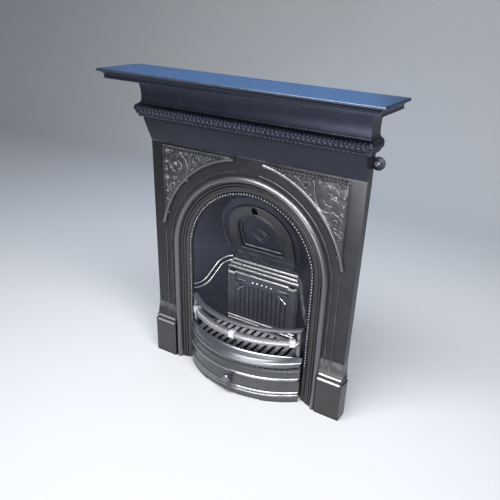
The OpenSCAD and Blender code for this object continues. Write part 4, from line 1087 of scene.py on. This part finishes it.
# The bars are one casting, painted as lit and shaded copies: the low bar, its posts and ribs lighter, the
# top bar darker.
low_bar_lit_iron = iron_finish("low_bar_lit_iron", (0.05, 0.05, 0.055), (0.27, 0.275, 0.295),
                       (0.55, 0.55, 0.57), 0.34, metal=0.62)
top_bar_shade_iron = iron_finish("top_bar_shade_iron", (0.03, 0.031, 0.036), (0.115, 0.118, 0.135),
                        (0.25, 0.25, 0.27), 0.5, metal=0.7)
# The bosses are painted near-white: a painted highlight.
boss_glint_iron = iron_finish("boss_glint_iron", (0.3, 0.3, 0.31), (0.72, 0.72, 0.73),
                        (0.85, 0.85, 0.85), 0.36, metal=0.45)
cast_piece("top_bar", bowed(oval, bars_r, bars_mid_y, bars_half), top_bar_shade_iron, body="bars",
           instead_of=("front_bars",), sharp=50)
cast_piece("low_bar", joined(bowed(low_bar, bars_r, bars_mid_y, low_bar_half), posts), low_bar_lit_iron,
           body="bars", soft=0.6)
cast_piece("bar_bosses", bosses, boss_glint_iron, body="bars", soft=2.2)
cast_piece("bar_ribs", bar_ribs, low_bar_lit_iron, body="bars", sharp=60)

# ---- Ash cover ----
# A bowed iron plate that stands on two feet before the ash pit and pulls
# away. It has a row of air notches under the lip, and beads whose crowns are
# rubbed bright and painted lighter as highlights.

cover_r, cover_mid_y, cover_half, cover_thick, cover_top = 369.2, 276.2, 244, 7, 148.7
foot_x, foot_high, notch_pitch, notch_half, notch_deep, last_notch = 120, 8, 3.104, 0.93, 4, 11
foot_bead, shin_bead, waist_bead = (29.5, 5.2), (41.5, 5.2), (102, 6.4)      # height and radius
fine_waist_bead, neck_bead = (92.2, 2.6), (136.7, 3)
crown_rise = 0.3        # the lighter crowns, painted highlights, stand this far proud of their beads

cover_iron = iron_finish("cover_iron", (0.03, 0.03, 0.033), (0.135, 0.136, 0.142),
                         (0.40, 0.405, 0.42), 0.32)


def cover_bead(z, radius):
    """A bead's part of the cover's (out, height) profile."""
    return arc(0, z, radius, -80, 80, 10)


cover_face = cover_bead(*foot_bead) + cover_bead(*shin_bead) + [(0, 60), (0, 80)]
cover_face += cover_bead(*fine_waist_bead) + cover_bead(*waist_bead) + [(0, 120)]
cover_face += cover_bead(*neck_bead) + [(0, 143)]
foot_turn = math.degrees(math.asin(foot_x / cover_r))
end_turn = math.degrees(math.asin(cover_half / cover_r))
cover_turns = [-end_turn + 2 * end_turn * i / 60 for i in range(61)]
cover_turns += [side * (foot_turn - shift) for side in (-1, 1) for shift in (0, 0.02)]
cover_turns += [i * notch_pitch + side * notch_half + shift for i in range(-last_notch, last_notch + 1)
                for side in (-1, 1) for shift in (-0.01, 0.01)]
cover_rings = []
for turn in sorted({round(turn, 3) for turn in cover_turns}):
    foot = foot_high if abs(turn) < foot_turn - 0.01 else 0
    from_notch = abs(turn - notch_pitch * round(turn / notch_pitch))
    notched = from_notch < notch_half and abs(turn) < (last_notch + 0.5) * notch_pitch
    top = cover_top - notch_deep if notched else cover_top
    back = [(-cover_thick, top), (-cover_thick, foot)]
    ring = []
    for out, z in [(0, foot), (0, foot + 3)] + cover_face + [(0, top)] + back:
        radius, limit = cover_r + out, abs(turn)
        if limit > end_turn - 0.3:
            limit = min(limit, math.degrees(math.asin(cover_half / radius)))
        a = math.radians(math.copysign(limit, turn))
        ring.append((radius * math.sin(a), cover_mid_y - radius * math.cos(a), z))
    cover_rings.append(ring)
cast_piece("ash_pit_cover", loft(cover_rings), cover_iron, body="cover",
           instead_of=("ash_cover",))
# Lighter crowns over the upper fronts of three beads: painted highlights.
glint_crowns = []
for z, radius in (foot_bead, shin_bead, waist_bead):
    crown = [(-1, z - radius * 0.7)] + arc(0, z, radius + crown_rise, -45, 80, 10) + [(-1, z + radius)]
    glint_crowns.append(bowed(crown, cover_r, cover_mid_y, cover_half - 0.6))
cast_piece("cover_crowns", joined(*glint_crowns), polished_iron, body="cover", sharp=60)

# ---- Ash cover knob ----
# A turned iron knob, screwed to the cover from behind and rubbed bright by
# the hand. A swelling drop is cast on the cover below it.

drop_steps = ((71, 8), (62, 12), (50, 10), (38, 12), (27, 17), (18, 12))     # height and half width

refinish(polished_iron, "ash_knob")
drop = loft([[(half * math.cos(t), cover_mid_y - cover_r + 1 - (9 + half * 0.3) * math.sin(t), z)
              for t in (math.pi * k / 10 for k in range(11))]
             for z, half in drop_steps])
cast_piece("knob_drop", drop, cover_iron, body="cover", soft=1, sharp=60)

# ---- Steel parts ----
# The hinge rod, the knob's screw, the bolts and the sheet ash pan are mild
# steel, greyed by handling; the pan is black with soot, and painted darker
# still as the shade under the grate.

mild_steel = iron_finish("mild_steel", (0.12, 0.12, 0.12), (0.34, 0.34, 0.34),
                         (0.5, 0.5, 0.5), 0.38, metal=1.0)
sooty_shade_steel = iron_finish("sooty_shade_steel", (0.008, 0.008, 0.008), (0.022, 0.022, 0.023),
                          (0.07, 0.07, 0.07), 0.6, metal=0.3)
refinish(mild_steel, "flap_rod", "knob_screw", "cornice_bolts", "shelf_bolts", "insert_bolts",
         "chamber_bolts", "plate_bolts", "lip_bolts")
refinish(sooty_shade_steel, "ash_pan")
